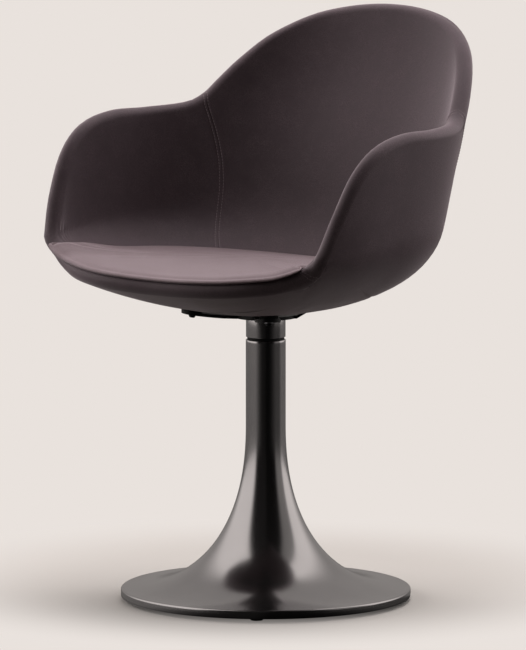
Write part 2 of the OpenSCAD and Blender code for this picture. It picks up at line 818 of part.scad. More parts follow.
module seat_spider() {
    hub_r = hub_dia / 2;
    color("dimgray") on_column() difference() {
        union() {
            translate([0, 0, hub_low]) cylinder(r = hub_r, h = arm_thick);
            for (turn = arm_turns)
                intersection() {
                    rotate(turn) translate([arm_width / 2, 0, 0]) rotate([90, 0, -90])
                        linear_extrude(arm_width)
                            polygon(concat(
                                [[0, hub_low], [hub_r, hub_low]], arm_side(turn, arm_low),
                                backwards(arm_side(turn, arm_top)), [[hub_r, hub_high], [0, hub_high]]
                            ));
                    rotate(turn) union() {
                        translate([-arm_width / 2, -(arm_reach - arm_width / 2), hub_low - overrun])
                            cube([arm_width, arm_reach - arm_width / 2, lip_rise]);
                        translate([0, -(arm_reach - arm_width / 2), hub_low - overrun])
                            cylinder(d = arm_width, h = lip_rise);
                    }
                }
        }
        translate([0, 0, hub_low - overrun]) cylinder(r = spigot_r + slip, h = arm_thick + 2 * overrun);
        at_screws() {
            translate([0, 0, -arm_low - 2 * overrun])
                cylinder(d = screw_dia + 2 * hole_play, h = arm_thick + 4 * overrun);
            translate([0, 0, -arm_top]) cylinder(d = pad_dia + 2 * hole_play, h = pad_thick + 2 * overrun);
            translate([0, 0, -arm_low - pad_thick])
                cylinder(d = washer_dia + 2 * hole_play, h = pad_thick + slip);
        }
    }
}

// Places along a seat screw
washer_top = -arm_low;
head_top = washer_top - washer_thick;
insert_low = -core_skin + insert_short;
insert_high = core_skin - slip;
screw_end = insert_high - screw_short;

module spider_washers() {
    color("silver") on_column()
        at_screws() ring(washer_dia / 2, screw_dia / 2 + slip, head_top, washer_top);
}

module spider_screws() {
    color("black") on_column() at_screws() difference() {
        union() {
            translate([0, 0, head_top - head_high])
                cylinder(d1 = head_dia * head_taper_share, d2 = head_dia, h = head_high);
            translate([0, 0, head_top - overrun / 2])
                cylinder(d = screw_dia - slip, h = screw_end - head_top + overrun / 2);
        }
        translate([0, 0, head_top - head_high - overrun])
            cylinder(d = key_dia, h = key_deep + overrun, $fn = 6);
    }
}

module spacer_pads() {
    color("black") on_column()
        at_screws() ring(pad_dia / 2, screw_dia / 2 + hole_play, -arm_top + slip, -skin + flat_sink);
}

module shell_inserts() {
    color("gold") on_column() at_screws() {
        ring(insert_flange_dia / 2, screw_dia / 2, insert_high - insert_flange_thick, insert_high);
        ring(insert_barrel_dia / 2, screw_dia / 2, insert_low, insert_high - insert_flange_thick);
    }
}

module shell_core() {
    color("burlywood") on_column() difference() {
        full_layer(core_skin);
        at_screws() {
            translate([0, 0, -core_skin - overrun])
                cylinder(d = insert_barrel_dia + slip, h = core_thick + 2 * overrun);
            translate([0, 0, insert_high - insert_flange_thick - slip])
                cylinder(d = insert_flange_dia + slip, h = insert_flange_thick + 3 * overrun);
        }
    }
}

module shell_padding() {
    color("khaki") on_column() panel(cells(function(a, m) lined(m)), foam_out, [for (m = rows) foam_in]);
}

module seat_liner() {
    color("gray") on_column() panel(cells(function(a, m) m < 1), skin, thick_rows);
}

module inner_back_cover() {
    color("rosybrown") on_column() panel(cells(function(a, m) in_back(a) && lined(m)), skin, thin_rows);
}

module inner_arm_cover_right() {
    color("rosybrown") on_column() panel(cells(function(a, m) on_right(a) && lined(m)), skin, thin_rows);
}

module inner_arm_cover_left() {
    color("rosybrown") on_column() panel(cells(function(a, m) on_left(a) && lined(m)), skin, thin_rows);
}

module outer_back_cover() {
    color("dimgray") on_column() panel(cells(function(a, m) in_back(a) && faced(m)), skin, thick_rows);
}

module outer_arm_cover_right() {
    color("dimgray") on_column() panel(cells(function(a, m) on_right(a) && faced(m)), skin, thick_rows);
}

module outer_arm_cover_left() {
    color("dimgray") on_column() panel(cells(function(a, m) on_left(a) && faced(m)), skin, thick_rows);
}

module under_cover() {
    color("dimgray") on_column() difference() {
        panel(cells(function(a, m) m > 4 || (in_front(a) && m > 1)), skin, lip_rows);
        at_screws() translate([0, 0, -skin - overrun]) cylinder(d = screw_dia + 2 * hole_play, h = skin);
    }
}

trumpet_base();
floor_plate();
glide_feet();
column_tube();
tube_plug();
tie_bolt();
tie_washer();
bearing_housing();
lower_bush();
upper_bush();
thrust_ring();
spindle();
lower_washer();
retaining_ring();
collar();
seat_spider();
spider_screws();
spider_washers();
spacer_pads();
shell_inserts();
shell_core();
shell_padding();
seat_liner();
inner_back_cover();
inner_arm_cover_right();
inner_arm_cover_left();
outer_back_cover();
outer_arm_cover_right();
outer_arm_cover_left();
under_cover();
cushion_foam();
cushion_cover();
cushion_base_cloth();
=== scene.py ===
"""Swivelling tub armchair on a trumpet foot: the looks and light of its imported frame."""

import math

import bpy
import numpy as np
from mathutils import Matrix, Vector


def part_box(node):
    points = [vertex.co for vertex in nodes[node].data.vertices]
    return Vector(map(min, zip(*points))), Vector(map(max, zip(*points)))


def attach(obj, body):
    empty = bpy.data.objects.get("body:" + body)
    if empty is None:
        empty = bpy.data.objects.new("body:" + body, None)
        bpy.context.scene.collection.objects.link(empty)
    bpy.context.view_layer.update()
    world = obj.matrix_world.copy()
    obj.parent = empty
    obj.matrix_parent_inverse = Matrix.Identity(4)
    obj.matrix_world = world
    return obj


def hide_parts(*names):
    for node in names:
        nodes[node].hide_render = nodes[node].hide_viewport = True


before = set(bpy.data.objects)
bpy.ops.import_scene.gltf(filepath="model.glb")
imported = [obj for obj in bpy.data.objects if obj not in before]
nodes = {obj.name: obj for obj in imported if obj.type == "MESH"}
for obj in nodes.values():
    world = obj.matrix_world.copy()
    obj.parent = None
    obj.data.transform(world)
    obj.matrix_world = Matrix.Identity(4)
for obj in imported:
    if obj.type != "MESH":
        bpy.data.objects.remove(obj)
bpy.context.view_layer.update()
scene = bpy.context.scene

# The seat's bowl, in metres, with the same named sizes as the solids
COLUMN_Y = -0.0177384
BOWL_Y = COLUMN_Y - 0.0275
SEAT_LOW = 0.4105
SKIN, CORE_SKIN = 0.012, 0.006
BOWL_WIDTH, BOWL_FRONT, BOWL_BACK = 0.528, 0.251, 0.142
FRONT_BEND, BACK_BEND = 0.068, 0.144
FRONT_BEND_POWER, BACK_BEND_POWER, FLOOR_POWER = 0.92, 2.8, 1.9
SIDE_SLOPE, FRONT_SLOPE, BACK_SLOPE = 0.04, 0.17, 0.425
FRONT_POWER, BACK_POWER = 2.7, 2.4
CURL_START, CURL_RADIUS = 0.251, 0.455
LIP, CORNER, ARM, BACK = 0.046, 0.076, 0.253, 0.399
CORNER_TURN, SEAM_TURN = 58.0, 123.0
HEM, HEM_ROOM = 0.020, 0.006  # height of the hem, and the least wall over it
WALL_POWER, BED_POWER = 1.3, 1.7  # how closely rows gather towards the hem, on the shell and on the cushion
UNDER_LIP, UNDER_CLIMB, UNDER_SPREAD = 0.029, 0.047, 28  # the under seam: at the front, its climb to the arms
UNDER_ROOM, LIP_ROOM, LIP_SPREAD = 0.003, 0.022, 12  # how far the under seam keeps from the rim
BOW_LOW, BOW_TURNS = 0.050, 4.5  # where the arm and back seams begin to bow, and by how many degrees
SWEEP_MARKS, SWEEP_TURNS = [1, 2, 2.5, 2.75, 3, 3.2, 4, 5], [0, -1.8, -1.0, 0.4, 2.4, 3.2, 5.0, 5.0]
STEEPEST = 0.42  # the least share of level run that counts where the rim is steep

# Fuller padding at the front of the arms: how much, in which direction, over how many degrees, and its heights
ARM_FULLNESS, FULL_TURN, FULL_SPREAD, FULL_LOW, FULL_CLIMB = 0.003, 68, 16, 0.06, 0.08

MM = 0.001
FEEL = 0.00048  # step over which directions are felt out
LEAST = FEEL / 5

# Turn, low and high level, and the share of the way between them: the height of the rim's crest
RIM_KNOTS = np.array([
    (turn, low + (high - low) * share) for turn, low, high, share in [
        (0, LIP, LIP, 0), (28, LIP, CORNER, 0.1), (44, LIP, CORNER, 0.3), (51, LIP, CORNER, 0.5),
        (57.6, CORNER, CORNER, 0), (60.8, CORNER, ARM, 0.14), (64.2, CORNER, ARM, 0.385),
        (70.2, CORNER, ARM, 0.705), (78.3, CORNER, ARM, 0.9), (90, CORNER, ARM, 0.99), (104, ARM, ARM, 0),
        (118, ARM, BACK, 0.035), (123, ARM, BACK, 0.115), (127, ARM, BACK, 0.24),
        (133, ARM, BACK, 0.43), (143, ARM, BACK, 0.69), (158, ARM, BACK, 0.91), (180, BACK, BACK, 0),
    ]
])


def fold(turn):
    """Degrees away from straight ahead, on either side."""
    return np.abs((np.asarray(turn, float) + 180) % 360 - 180)


def ease(t):
    """Smooth step from 0 to 1."""
    u = np.clip(t, 0, 1)
    return u * u * (3 - 2 * u)


def unit(v):
    """Vectors of length 1."""
    return v / np.linalg.norm(v, axis=-1, keepdims=True)


def plan_radius(turn, h):
    """Distance of the bowl's middle surface from its own middle, in direction turn at height h."""
    a = np.radians(turn)
    to_front = (1 + np.cos(a)) / 2
    bend = BACK_BEND + (FRONT_BEND - BACK_BEND) * to_front
    power = BACK_BEND_POWER + (FRONT_BEND_POWER - BACK_BEND_POWER) * to_front
    left = 1 - np.minimum(1, np.maximum(h, LEAST) / bend)
    f = (1 - left ** power) ** (1 / FLOOR_POWER)
    side = BOWL_WIDTH / 2 * f + SIDE_SLOPE * h
    past = np.maximum(0, h - CURL_START)
    ahead = np.cos(a) > 0
    reach = np.where(
        ahead,
        BOWL_FRONT * f + FRONT_SLOPE * h,
        BOWL_BACK * f + BACK_SLOPE * h - past ** 2 / (2 * CURL_RADIUS),
    )
    n = np.where(ahead, FRONT_POWER, BACK_POWER)
    full = ARM_FULLNESS * np.exp(-(((fold(turn) - FULL_TURN) / FULL_SPREAD) ** 2))
    full = full * ease((h - FULL_LOW) / FULL_CLIMB)
    return ((np.abs(np.sin(a)) / side) ** n + (np.abs(np.cos(a)) / reach) ** n) ** (-1 / n) + full


def middle(turn, h):
    """Points of the shell's middle surface."""
    r, a = plan_radius(turn, h), np.radians(turn)
    return np.stack([r * np.sin(a), BOWL_Y - r * np.cos(a), SEAT_LOW + h + 0 * r], -1)


def outward(turn, h):
    """Directions out of the shell."""
    k = np.maximum(h, FEEL)
    across = middle(turn + 1, k) - middle(turn - 1, k)
    return unit(np.cross(across, middle(turn, k + FEEL) - middle(turn, k - FEEL / 2)))


def skin_point(turn, h, off):
    """Points at distance off from the middle surface."""
    turn, h, off = np.broadcast_arrays(turn, h, off)
    lifted = middle(turn, h) + outward(turn, h) * off[..., None]
    pole = np.stack([0 * h, BOWL_Y + 0 * h, SEAT_LOW - off], -1)
    return np.where((h <= LEAST)[..., None], pole, lifted)


def rim_height(turn):
    """Height of the rim's crest over the bowl's lowest point."""
    x, y = RIM_KNOTS[:, 0], RIM_KNOTS[:, 1]
    slope = np.zeros(len(x))
    slope[1:-1] = (y[2:] - y[:-2]) / (x[2:] - x[:-2])
    a = fold(turn)
    k = np.clip(np.searchsorted(x, a, side="right") - 1, 0, len(x) - 2)
    w = x[k + 1] - x[k]
    t = (a - x[k]) / w
    return (
        y[k] * (1 + 2 * t) * (1 - t) ** 2 + slope[k] * w * t * (1 - t) ** 2
        + y[k + 1] * (3 - 2 * t) * t * t - slope[k + 1] * w * t * t * (1 - t)
    )


def rim_depth(turn):
    """How far down the rim one unit of its rounding reaches, evened out along the rim."""
    steps = (-3, 0.2), (-1.2, 0.3), (1.2, 0.3), (3, 0.2)
    return sum(bare_depth(turn + step) * share for step, share in steps)


def bare_depth(turn):
    """How far down the rim one unit of its rounding reaches where the rim slopes."""
    h = rim_height(turn)
    along = unit(middle(turn + 1, rim_height(turn + 1)) - middle(turn - 1, rim_height(turn - 1)))
    up = unit(middle(turn, h) - middle(turn, h - FEEL))
    return up[..., 2] / np.maximum(STEEPEST, np.linalg.norm(np.cross(along, up), axis=-1))


def under_seam(turn, cap_end):
    """Height of the seam between the outer panels and the underside."""
    b = fold(turn) - CORNER_TURN
    room = UNDER_ROOM + LIP_ROOM * ease(-b / LIP_SPREAD)
    climb = UNDER_CLIMB * np.exp(-((np.maximum(0, b) / UNDER_SPREAD) ** 2))
    return np.minimum(cap_end - room, UNDER_LIP + climb)


def seam_bow(turn, h):
    """Degrees by which the arm and back seams bow backward between cushion and rim."""
    b = fold(turn)
    weight = np.where(
        b < CORNER_TURN, 0,
        np.where(b < SEAM_TURN, (b - CORNER_TURN) / (SEAM_TURN - CORNER_TURN), (180 - b) / (180 - SEAM_TURN)),
    )
    t = np.clip((h - BOW_LOW) / (ARM - BOW_LOW), 0, 1)
    return np.where(np.asarray(turn) > 180, -1, 1) * weight * BOW_TURNS * np.sin(np.pi * t)


def corner_sweep(turn, mark):
    """Degrees by which the corner seam sweeps back as it runs over the rim and down."""
    b = fold(turn)
    weight = ease((b - 30) / 28) * ease((100 - b) / 40)
    return np.where(np.asarray(turn) > 180, -1, 1) * weight * np.interp(mark, SWEEP_MARKS, SWEEP_TURNS)


def station(mark, rim, depth, under, off, power=WALL_POWER):
    """Height and lean of a layer at a mark down the shell: lean -1 is the inner face and 1 the outer one.
    Marks: 0 floor inside, 1 hem under the cushion, 2 to 3 rounded rim, 4 under seam, 5 floor outside."""
    cap_end = rim - SKIN * depth
    hem = np.minimum(HEM, cap_end - HEM_ROOM)
    round_ = np.pi * (mark - 2)
    h = np.select(
        [mark < 1, mark < 2, mark <= 3, mark <= 4],
        [
            hem * mark * mark,
            hem + (cap_end - hem) * np.clip(mark - 1, 0, 1) ** power,
            rim - (SKIN - off * np.sin(round_)) * depth,
            under + (cap_end - under) * np.clip(4 - mark, 0, 1) ** power,
        ],
        under * np.clip(5 - mark, 0, 1) ** 2,
    )
    lean = np.select([mark < 2, mark <= 3], [-1.0 + 0 * mark, -np.cos(round_)], 1.0)
    return h, lean


def shell_point(turn, beside, mark, below=0.0, rise=0.0, off=SKIN):
    """Points of a layer of the shell, at the skin or deeper: turn is the grid column, beside a step along the
    skin off it, below a step down past the mark and rise a step out of the layer."""
    turn, beside, mark, below, rise = np.broadcast_arrays(
        *(np.asarray(v, float) for v in (turn, beside, mark, below, rise))
    )
    a = turn + corner_sweep(turn, mark)
    for _ in range(2):
        rim, depth = rim_height(a), rim_depth(a)
        under = under_seam(a, rim - SKIN * depth)
        in_rim = ((mark > 2) & (mark < 3)) | ((mark == 2) & (below > 0)) | ((mark == 3) & (below < 0))
        m = np.where(in_rim, mark + below / (SKIN * np.pi), mark)
        h, lean = station(m, rim, depth, under, off)
        h = np.where(in_rim, h, h + below * np.where(mark < 2.5, 1, -1))
        h = np.maximum(h, 0)
        a = turn + corner_sweep(turn, mark) + np.degrees(beside / np.maximum(plan_radius(turn, h), 0.2))
    return skin_point(a + seam_bow(a, h), h, (off + rise) * lean)


def relief(d, *parts):
    """Height of the leather at a distance from a seam: height, place and width of each part in millimetres."""
    return sum(h * MM * np.exp(-(((d - place * MM) / (width * MM)) ** 2)) for h, place, width in parts)


def seam_dip(d):
    """Depth of the leather beside a turned seam: a narrow groove, then a low swell."""
    return relief(d, (-1.4, 0, 0.9), (-0.45, 0, 3.2), (0.30, 7, 3.5))


def flat_seam(d):
    """Depth of the leather beside a flat seam: a fine groove between two low ridges that carry the stitches."""
    return relief(d, (-0.50, 0, 0.75), (0.26, STITCH_PLACE, 1.0), (-0.14, 5.6, 1.8))


STITCH_PLACE = 2.75  # millimetres from a flat seam to the stitches on either side
STITCH_STEP = STITCH_PLACE * MM

# Distances from a seam at which the leather's grid has lines
SEAM_STEPS = np.array([0.4, 0.85, 1.4, 2.05, 2.75, 3.5, 4.6, 6.2, 9.0]) * MM
RIM_STEPS = np.array([0.45, 0.95, 1.6, 2.75, 4.2]) * MM
FAR = 1.0  # distance of a line that belongs to no seam
SHORT_WALL, CALM_WALL = 0.075, 0.09  # walls lower than these draw their rows together and lose their waves
DEEPEST = 1.9 * MM
WAVE_HEIGHT, WAVE_CLEAR = 0.22 * MM, 9 * MM  # waves in the leather, and how far they keep from a seam


def both_sides(steps):
    """The steps before a seam, the seam itself and the steps after it."""
    return [*-steps[::-1], 0.0, *steps]


def shell_columns():
    """Columns of the leather's grid all round: direction, step beside it and distance from its seam."""
    def plain(start, end, count):
        return [(a, 0.0, FAR) for a in np.linspace(start, end, count)]

    def by_seam(turn):
        return [(turn, d, abs(d)) for d in both_sides(SEAM_STEPS)]

    right = (
        plain(0, 54.5, 24) + by_seam(CORNER_TURN) + plain(61.0, 77.0, 12) + plain(79.0, 119.5, 16)
        + by_seam(SEAM_TURN) + plain(126.5, 177.4, 22)
    )
    left = [(360 - a, -s, d) for a, s, d in right[1:][::-1]]
    return right + [(180.0, 0.0, FAR)] + left


def shell_rows():
    """Rows of the leather's grid from the hem inside, over the rim, to the middle of the underside:
    mark, step below it, and distances from the rim's seam and from the under seam."""
    def plain(start, end, count):
        return [(m, 0.0, FAR, FAR) for m in np.linspace(start, end, count)]

    steps = both_sides(RIM_STEPS)
    return (
        plain(1, 2, 25)[:-1] + plain(2, 2.8, 13) + [(3.0, d, abs(d), FAR) for d in steps]
        + plain(3.1, 3.88, 20) + [(4.0, d, FAR, abs(d)) for d in steps] + plain(4.07, 5, 15)
    )


def leather_grid():
    """All the shell's leather as one grid of points, with the seams pressed in."""
    cols, rows = shell_columns(), shell_rows()
    turn, beside, col_seam = (np.array([c[k] for c in cols])[None, :] for k in range(3))
    mark, below, rim_seam, low_seam = (np.array([r[k] for r in rows])[:, None] for k in range(4))
    behind = fold(turn) >= CORNER_TURN
    # rows beside a seam come together where the wall between them is short
    a = turn + corner_sweep(turn, mark + 0 * turn)
    cap_end = rim_height(a) - SKIN * rim_depth(a)
    room = cap_end - under_seam(a, cap_end)
    on_wall = (mark == 3) & (below > 0) | (mark == 4) & (below < 0)
    squeeze = np.where(on_wall, np.minimum(1, room / SHORT_WALL), 1)
    # the corner seam shows on the rim only, and the arm and back seams end at the under seam
    corner_shown = ease((mark - 2.2) / 0.2) * ease((3.3 - mark) / 0.5)
    shown = np.where(fold(turn) < 90, corner_shown, ease((4.25 - mark) / 0.25))
    rim_shown = behind * ease((fold(turn) - 114) / 10)
    low_shown = behind * ease((fold(turn) - 74) / 18) * 0.5
    pressed = flat_seam(col_seam) * shown + rim_shown * seam_dip(rim_seam) + low_shown * seam_dip(low_seam)
    pressed = np.maximum(pressed, -DEEPEST)
    waves = np.sin(turn / 7.1 + 9 * mark) * np.sin(mark * 6.3 + turn / 23)
    waves = WAVE_HEIGHT * (waves + np.sin(turn / 3.7 - 5 * mark + 1.3) / 2)
    waves = waves * ease((mark - 1) / 0.3) * ease((5 - mark) / 0.5)
    calm = np.where(mark > 2.9, ease(room / CALM_WALL), 1)
    waves = waves * (1 - np.exp(-((col_seam / WAVE_CLEAR) ** 2))) * calm
    points = shell_point(turn, beside, mark, below * squeeze, pressed + waves)
    return cols, rows, points


SAME_PLACE = 0.02 * MM  # points closer than this are one
SHORTEST = 0.4 * MM  # shorter steps count for less in a direction


def mesh_piece(name, points, faces, smooth=True):
    """A mesh object from points and faces."""
    mesh = bpy.data.meshes.new(name)
    mesh.from_pydata([tuple(p) for p in points], [], faces)
    mesh.validate(clean_customdata=False)
    mesh.polygons.foreach_set("use_smooth", [smooth] * len(mesh.polygons))
    piece = bpy.data.objects.new(name, mesh)
    scene.collection.objects.link(piece)
    return piece


def grid_piece(name, points, wanted=None, flip=False, normals=None):
    """The cells of a grid closed all round for which wanted[row, column] is true, or all, as one piece.
    Points that lie on each other become one, and the whole grid's normals keep the piece's edges smooth."""
    count = points.shape[1]
    flat = points.reshape(-1, 3)
    used, kept, faces = {}, [], []

    def corner(j, i):
        k = j * count + i % count
        key = tuple(np.round(flat[k] / SAME_PLACE).astype(int))
        if key not in used:
            used[key] = len(kept)
            kept.append(k)
        return used[key]

    for j in range(points.shape[0] - 1):
        for i in range(count):
            if wanted is None or wanted[j, i]:
                face = [corner(j, i), corner(j, i + 1), corner(j + 1, i + 1), corner(j + 1, i)]
                face = [v for n, v in enumerate(face) if v not in face[:n]]
                if len(face) > 2:
                    faces.append(face[::-1] if flip else face)
    piece = mesh_piece(name, flat[kept], faces)
    if normals is not None:
        piece.data.normals_split_custom_set_from_vertices(normals.reshape(-1, 3)[kept].tolist())
    return piece


def grid_normals(points):
    """Directions out of the leather at the points of the whole grid, from near and wider neighbours."""
    def tangents(near, before, wide):
        return sum(
            v * share / np.maximum(np.linalg.norm(v, axis=-1, keepdims=True), SHORTEST)
            for v, share in ((near, 1.0), (before, 1.0), (wide, 0.2))
        )

    wider = np.roll(points, -3, 1) - np.roll(points, 3, 1)
    round_ = tangents(np.roll(points, -1, 1) - points, points - np.roll(points, 1, 1), wider)
    longer = np.concatenate([points[:1]] * 3 + [points] + [points[-1:]] * 3)
    down = tangents(longer[4:-2] - points, points - longer[2:-4], longer[6:] - longer[:-6])
    n = np.cross(down, round_)
    n[-1] = [0, 0, -1]
    return n / np.maximum(np.linalg.norm(n, axis=-1, keepdims=True), 1e-9)


def leather_panels():
    """The shell's seven leather panels, cut from one grid along its seams."""
    cols, rows, points = leather_grid()
    normals = grid_normals(points)
    # a step beside a seam only has to fall on its right side
    place = np.array([turn + step * 1000 for turn, step, _ in cols])
    mid = (place + np.append(place[1:], 360.0)) / 2
    marks = np.array([r[0] + r[1] for r in rows])
    row_mid = (marks[1:] + marks[:-1]) / 2
    side = fold(mid)
    front, back = side < CORNER_TURN, side > SEAM_TURN
    right, left = ~front & ~back & (mid < 180), ~front & ~back & (mid > 180)
    inside, outside, under = row_mid < 3, (row_mid > 3) & (row_mid < 4), row_mid > 4

    def want(row_test, col_test):
        return row_test[:, None] & col_test[None, :]

    everywhere = np.ones(len(cols), bool)
    layout = {
        "inner_back_leather": (want(inside, back), ["inner_back_cover", "shell_padding"]),
        "inner_arm_leather_right": (want(inside, right), ["inner_arm_cover_right"]),
        "inner_arm_leather_left": (want(inside, left), ["inner_arm_cover_left"]),
        "outer_back_leather": (want(outside, back), ["outer_back_cover"]),
        "outer_arm_leather_right": (want(outside, right), ["outer_arm_cover_right"]),
        "outer_arm_leather_left": (want(outside, left), ["outer_arm_cover_left"]),
        "under_leather": (want(under, everywhere) | want(~under, front), ["under_cover"]),
    }
    for name, (wanted, covers) in layout.items():
        panel = grid_piece(name, points, wanted, flip=True, normals=normals)
        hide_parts(*covers)
        yield panel


# The plywood core inside the padding: rows from each whole mark to the next
CORE_ROWS = 9, 22, 9, 22, 9
CORE_MARKS = [0.0] + [m for k, rows in enumerate(CORE_ROWS) for m in np.linspace(k, k + 1, rows)[1:]]

# The lining cloth in the bottom of the shell, under the cushion
LINING_MARKS, LINING_SUNK = [0, 0.2, 0.35, 0.5, 0.65, 0.8, 0.92, 1.02], 0.4 * MM


def shell_layer(name, columns, marks, rise=0.0, off=SKIN):
    """A layer of the shell from the middle of its floor to the last mark."""
    turns = np.linspace(0, 360, columns)[:-1][None, :]
    return grid_piece(name, shell_point(turns, 0, np.array(marks)[:, None], 0, rise, off), flip=True)


# Cushion
CUSHION_RISE, CUSHION_DROP, CUSHION_SLOPE = 0.067, 0.0014, 0.047  # its top; fall and slope of its brim
CORNER_RISE, RISE_SPREAD = 0.008, 12
CUSHION_EDGE, WALL_EDGE = 0.013, 0.007  # height of the edge over the lip, and along the wall
FREE_LOW, FREE_CLIMB = 0.001, 0.011  # height over the rim at which the edge begins to stand free
CUSHION_OVERHANG, CORNER_OVERHANG, OVERHANG_TURN, OVERHANG_SPREAD = 0.002, 0.010, 53, 8
BED, WALL_PLAY, PLAY_TURN, PLAY_SPREAD = 0.0005, 0.0026, 46, 12  # gap to the shell, and more by its wall
FREE_MARK = 2.38  # where the free edge stands on the rim
BED_MARKS = 0, 0.3, 0.55, 0.8, 1.0
FOOT_SHARES = 0.3, 0.55, 0.75, 0.88, 0.96, 1.0
# Up the free edge: share of its height, and how far it stands out there in millimetres
BULGES, WIDEST = ((0.10, 1.0), (0.22, 1.2), (0.34, 0.8), (0.46, -0.4), (0.58, -2.4)), 0.60
# Over the edge, in millimetres: how far in by the wall and where it stands free, and how far below the brim
ROLL = (1.2, 5.2, 3.9), (2.6, 9.0, 2.6), (4.4, 12.0, 1.5), (6.8, 15.5, 0.7), (10, 20, 0.2), (15, 27, 0)
TOP_SHARES = 0.93, 0.86, 0.78, 0.69, 0.6, 0.5, 0.4, 0.3, 0.2, 0.1, 0.0
BRIM_RING = len(BED_MARKS) + len(FOOT_SHARES) + len(BULGES) + len(ROLL) - 1
# Filling: height and width of the edge's held band, the fading beyond it, the cloth's steps and its most lift
HELD_DEPTH, HELD_WIDTH, HELD_FADE, SWELL_STEPS, CROWN = 0.004, 0.002, 0.05, 18, 3.0 * MM


def corner_rise(turn):
    """How much higher the cushion stands in its front corners."""
    b = (fold(turn) - CORNER_TURN) / RISE_SPREAD
    return CORNER_RISE * np.exp(-b * b)


def cushion_brim(turn):
    """Height of the cushion's brim."""
    h = rim_height(turn)
    ahead = COLUMN_Y - middle(turn, np.minimum(h, CUSHION_RISE))[..., 1]
    return np.minimum(h + CUSHION_EDGE, CUSHION_RISE - CUSHION_DROP + CUSHION_SLOPE * ahead + corner_rise(turn))


def overhang(turn):
    """How far the free edge of the cushion stands out over the rim, most at the corners."""
    b = (fold(turn) - OVERHANG_TURN) / OVERHANG_SPREAD
    return CUSHION_OVERHANG + CORNER_OVERHANG * np.exp(-b * b)


def bed_point(turn, mark):
    """Points on the cushion's side of the shell's skin."""
    play = BED + WALL_PLAY * ease((fold(turn) - PLAY_TURN) / PLAY_SPREAD) * (mark > 1)
    turn, mark, play = np.broadcast_arrays(turn, mark, play)
    off = SKIN + play
    h, lean = station(mark, rim_height(turn), rim_depth(turn), 0.0, off, BED_POWER)
    h = np.maximum(h, 0)
    return skin_point(turn + seam_bow(turn, h), h, off * lean)


def wall_mark(turn, rise):
    """Mark at which the wall reaches a height over the bowl's lowest point."""
    low, high = np.full(turn.shape, 0.5), np.full(turn.shape, 2.45)  # from the floor past the crest
    for _ in range(16):
        m = (low + high) / 2
        below = bed_point(turn, m)[..., 2] - SEAT_LOW < rise
        low, high = np.where(below, m, low), np.where(below, high, m)
    return (low + high) / 2


def toward_middle(points, distance):
    """Points moved level towards the bowl's middle."""
    c = np.array([0, BOWL_Y, 0])
    flat = (points - c) * [1, 1, 0]
    return points - unit(flat) * np.broadcast_to(distance, points.shape[:-1])[..., None]


class CushionEdge:
    """Foot, wall points and brim of the cushion's edge for a list of directions."""

    def __init__(self, turn):
        self.turn = turn
        self.brim = cushion_brim(turn)
        self.free = ease((self.brim - rim_height(turn) - FREE_LOW) / FREE_CLIMB)
        foot_mark = wall_mark(turn, self.brim - WALL_EDGE)
        self.mark = foot_mark * (1 - self.free) + FREE_MARK * self.free
        self.foot = bed_point(turn, self.mark)
        self.wall_foot = bed_point(turn, foot_mark)

    def line(self, share, bulge=0.0):
        """The edge at a share of its height: up the wall, or standing free over the lip."""
        up_wall = wall_mark(self.turn, self.brim - WALL_EDGE * (1 - share))
        climb = bed_point(self.turn, up_wall) - self.wall_foot
        p = toward_middle(self.foot, -(overhang(self.turn) + bulge) * self.free)
        p = p + climb * (1 - self.free)[:, None]
        p[:, 2] = self.foot[:, 2] * (1 - share) + (SEAT_LOW + self.brim) * share
        return p


def cushion_rings():
    """Rings of the cushion from the middle of its underside, round the edge, to the middle of its top."""
    half = np.concatenate([np.linspace(0, 44, 31)[:-1], np.linspace(44, 66, 45)[:-1], np.linspace(66, 180, 78)])
    turn = np.concatenate([half, 360 - half[1:-1][::-1]])
    edge = CushionEdge(turn)
    rings = [bed_point(turn, np.full(len(turn), m)) for m in BED_MARKS]
    rings += [bed_point(turn, 1 + (edge.mark - 1) * t) for t in FOOT_SHARES]
    rings += [edge.line(share, bulge * MM) for share, bulge in BULGES]
    widest = edge.line(WIDEST)
    for roll, free_roll, drop in ROLL:
        p = toward_middle(widest, (roll + (free_roll - roll) * edge.free) * MM)
        p[:, 2] = SEAT_LOW + edge.brim - drop * MM
        rings.append(p)
    brim = rings[-1]
    top = SEAT_LOW + CUSHION_RISE
    lift = corner_rise(turn)
    for s in TOP_SHARES:
        p = brim.copy()
        p[:, 0] *= s
        p[:, 1] = BOWL_Y + (p[:, 1] - BOWL_Y) * s
        p[:, 2] = top + (brim[:, 2] - lift - top) * s * s + lift * s**7
        rings.append(p)
    return turn, rings


def seat_cushion():
    """The loose seat cushion, swelled by its filling and drawn in at its sewn edge."""
    turn, rings = cushion_rings()
    points = np.stack(rings)
    return grid_piece("seat_cushion", points), turn, points[BRIM_RING]


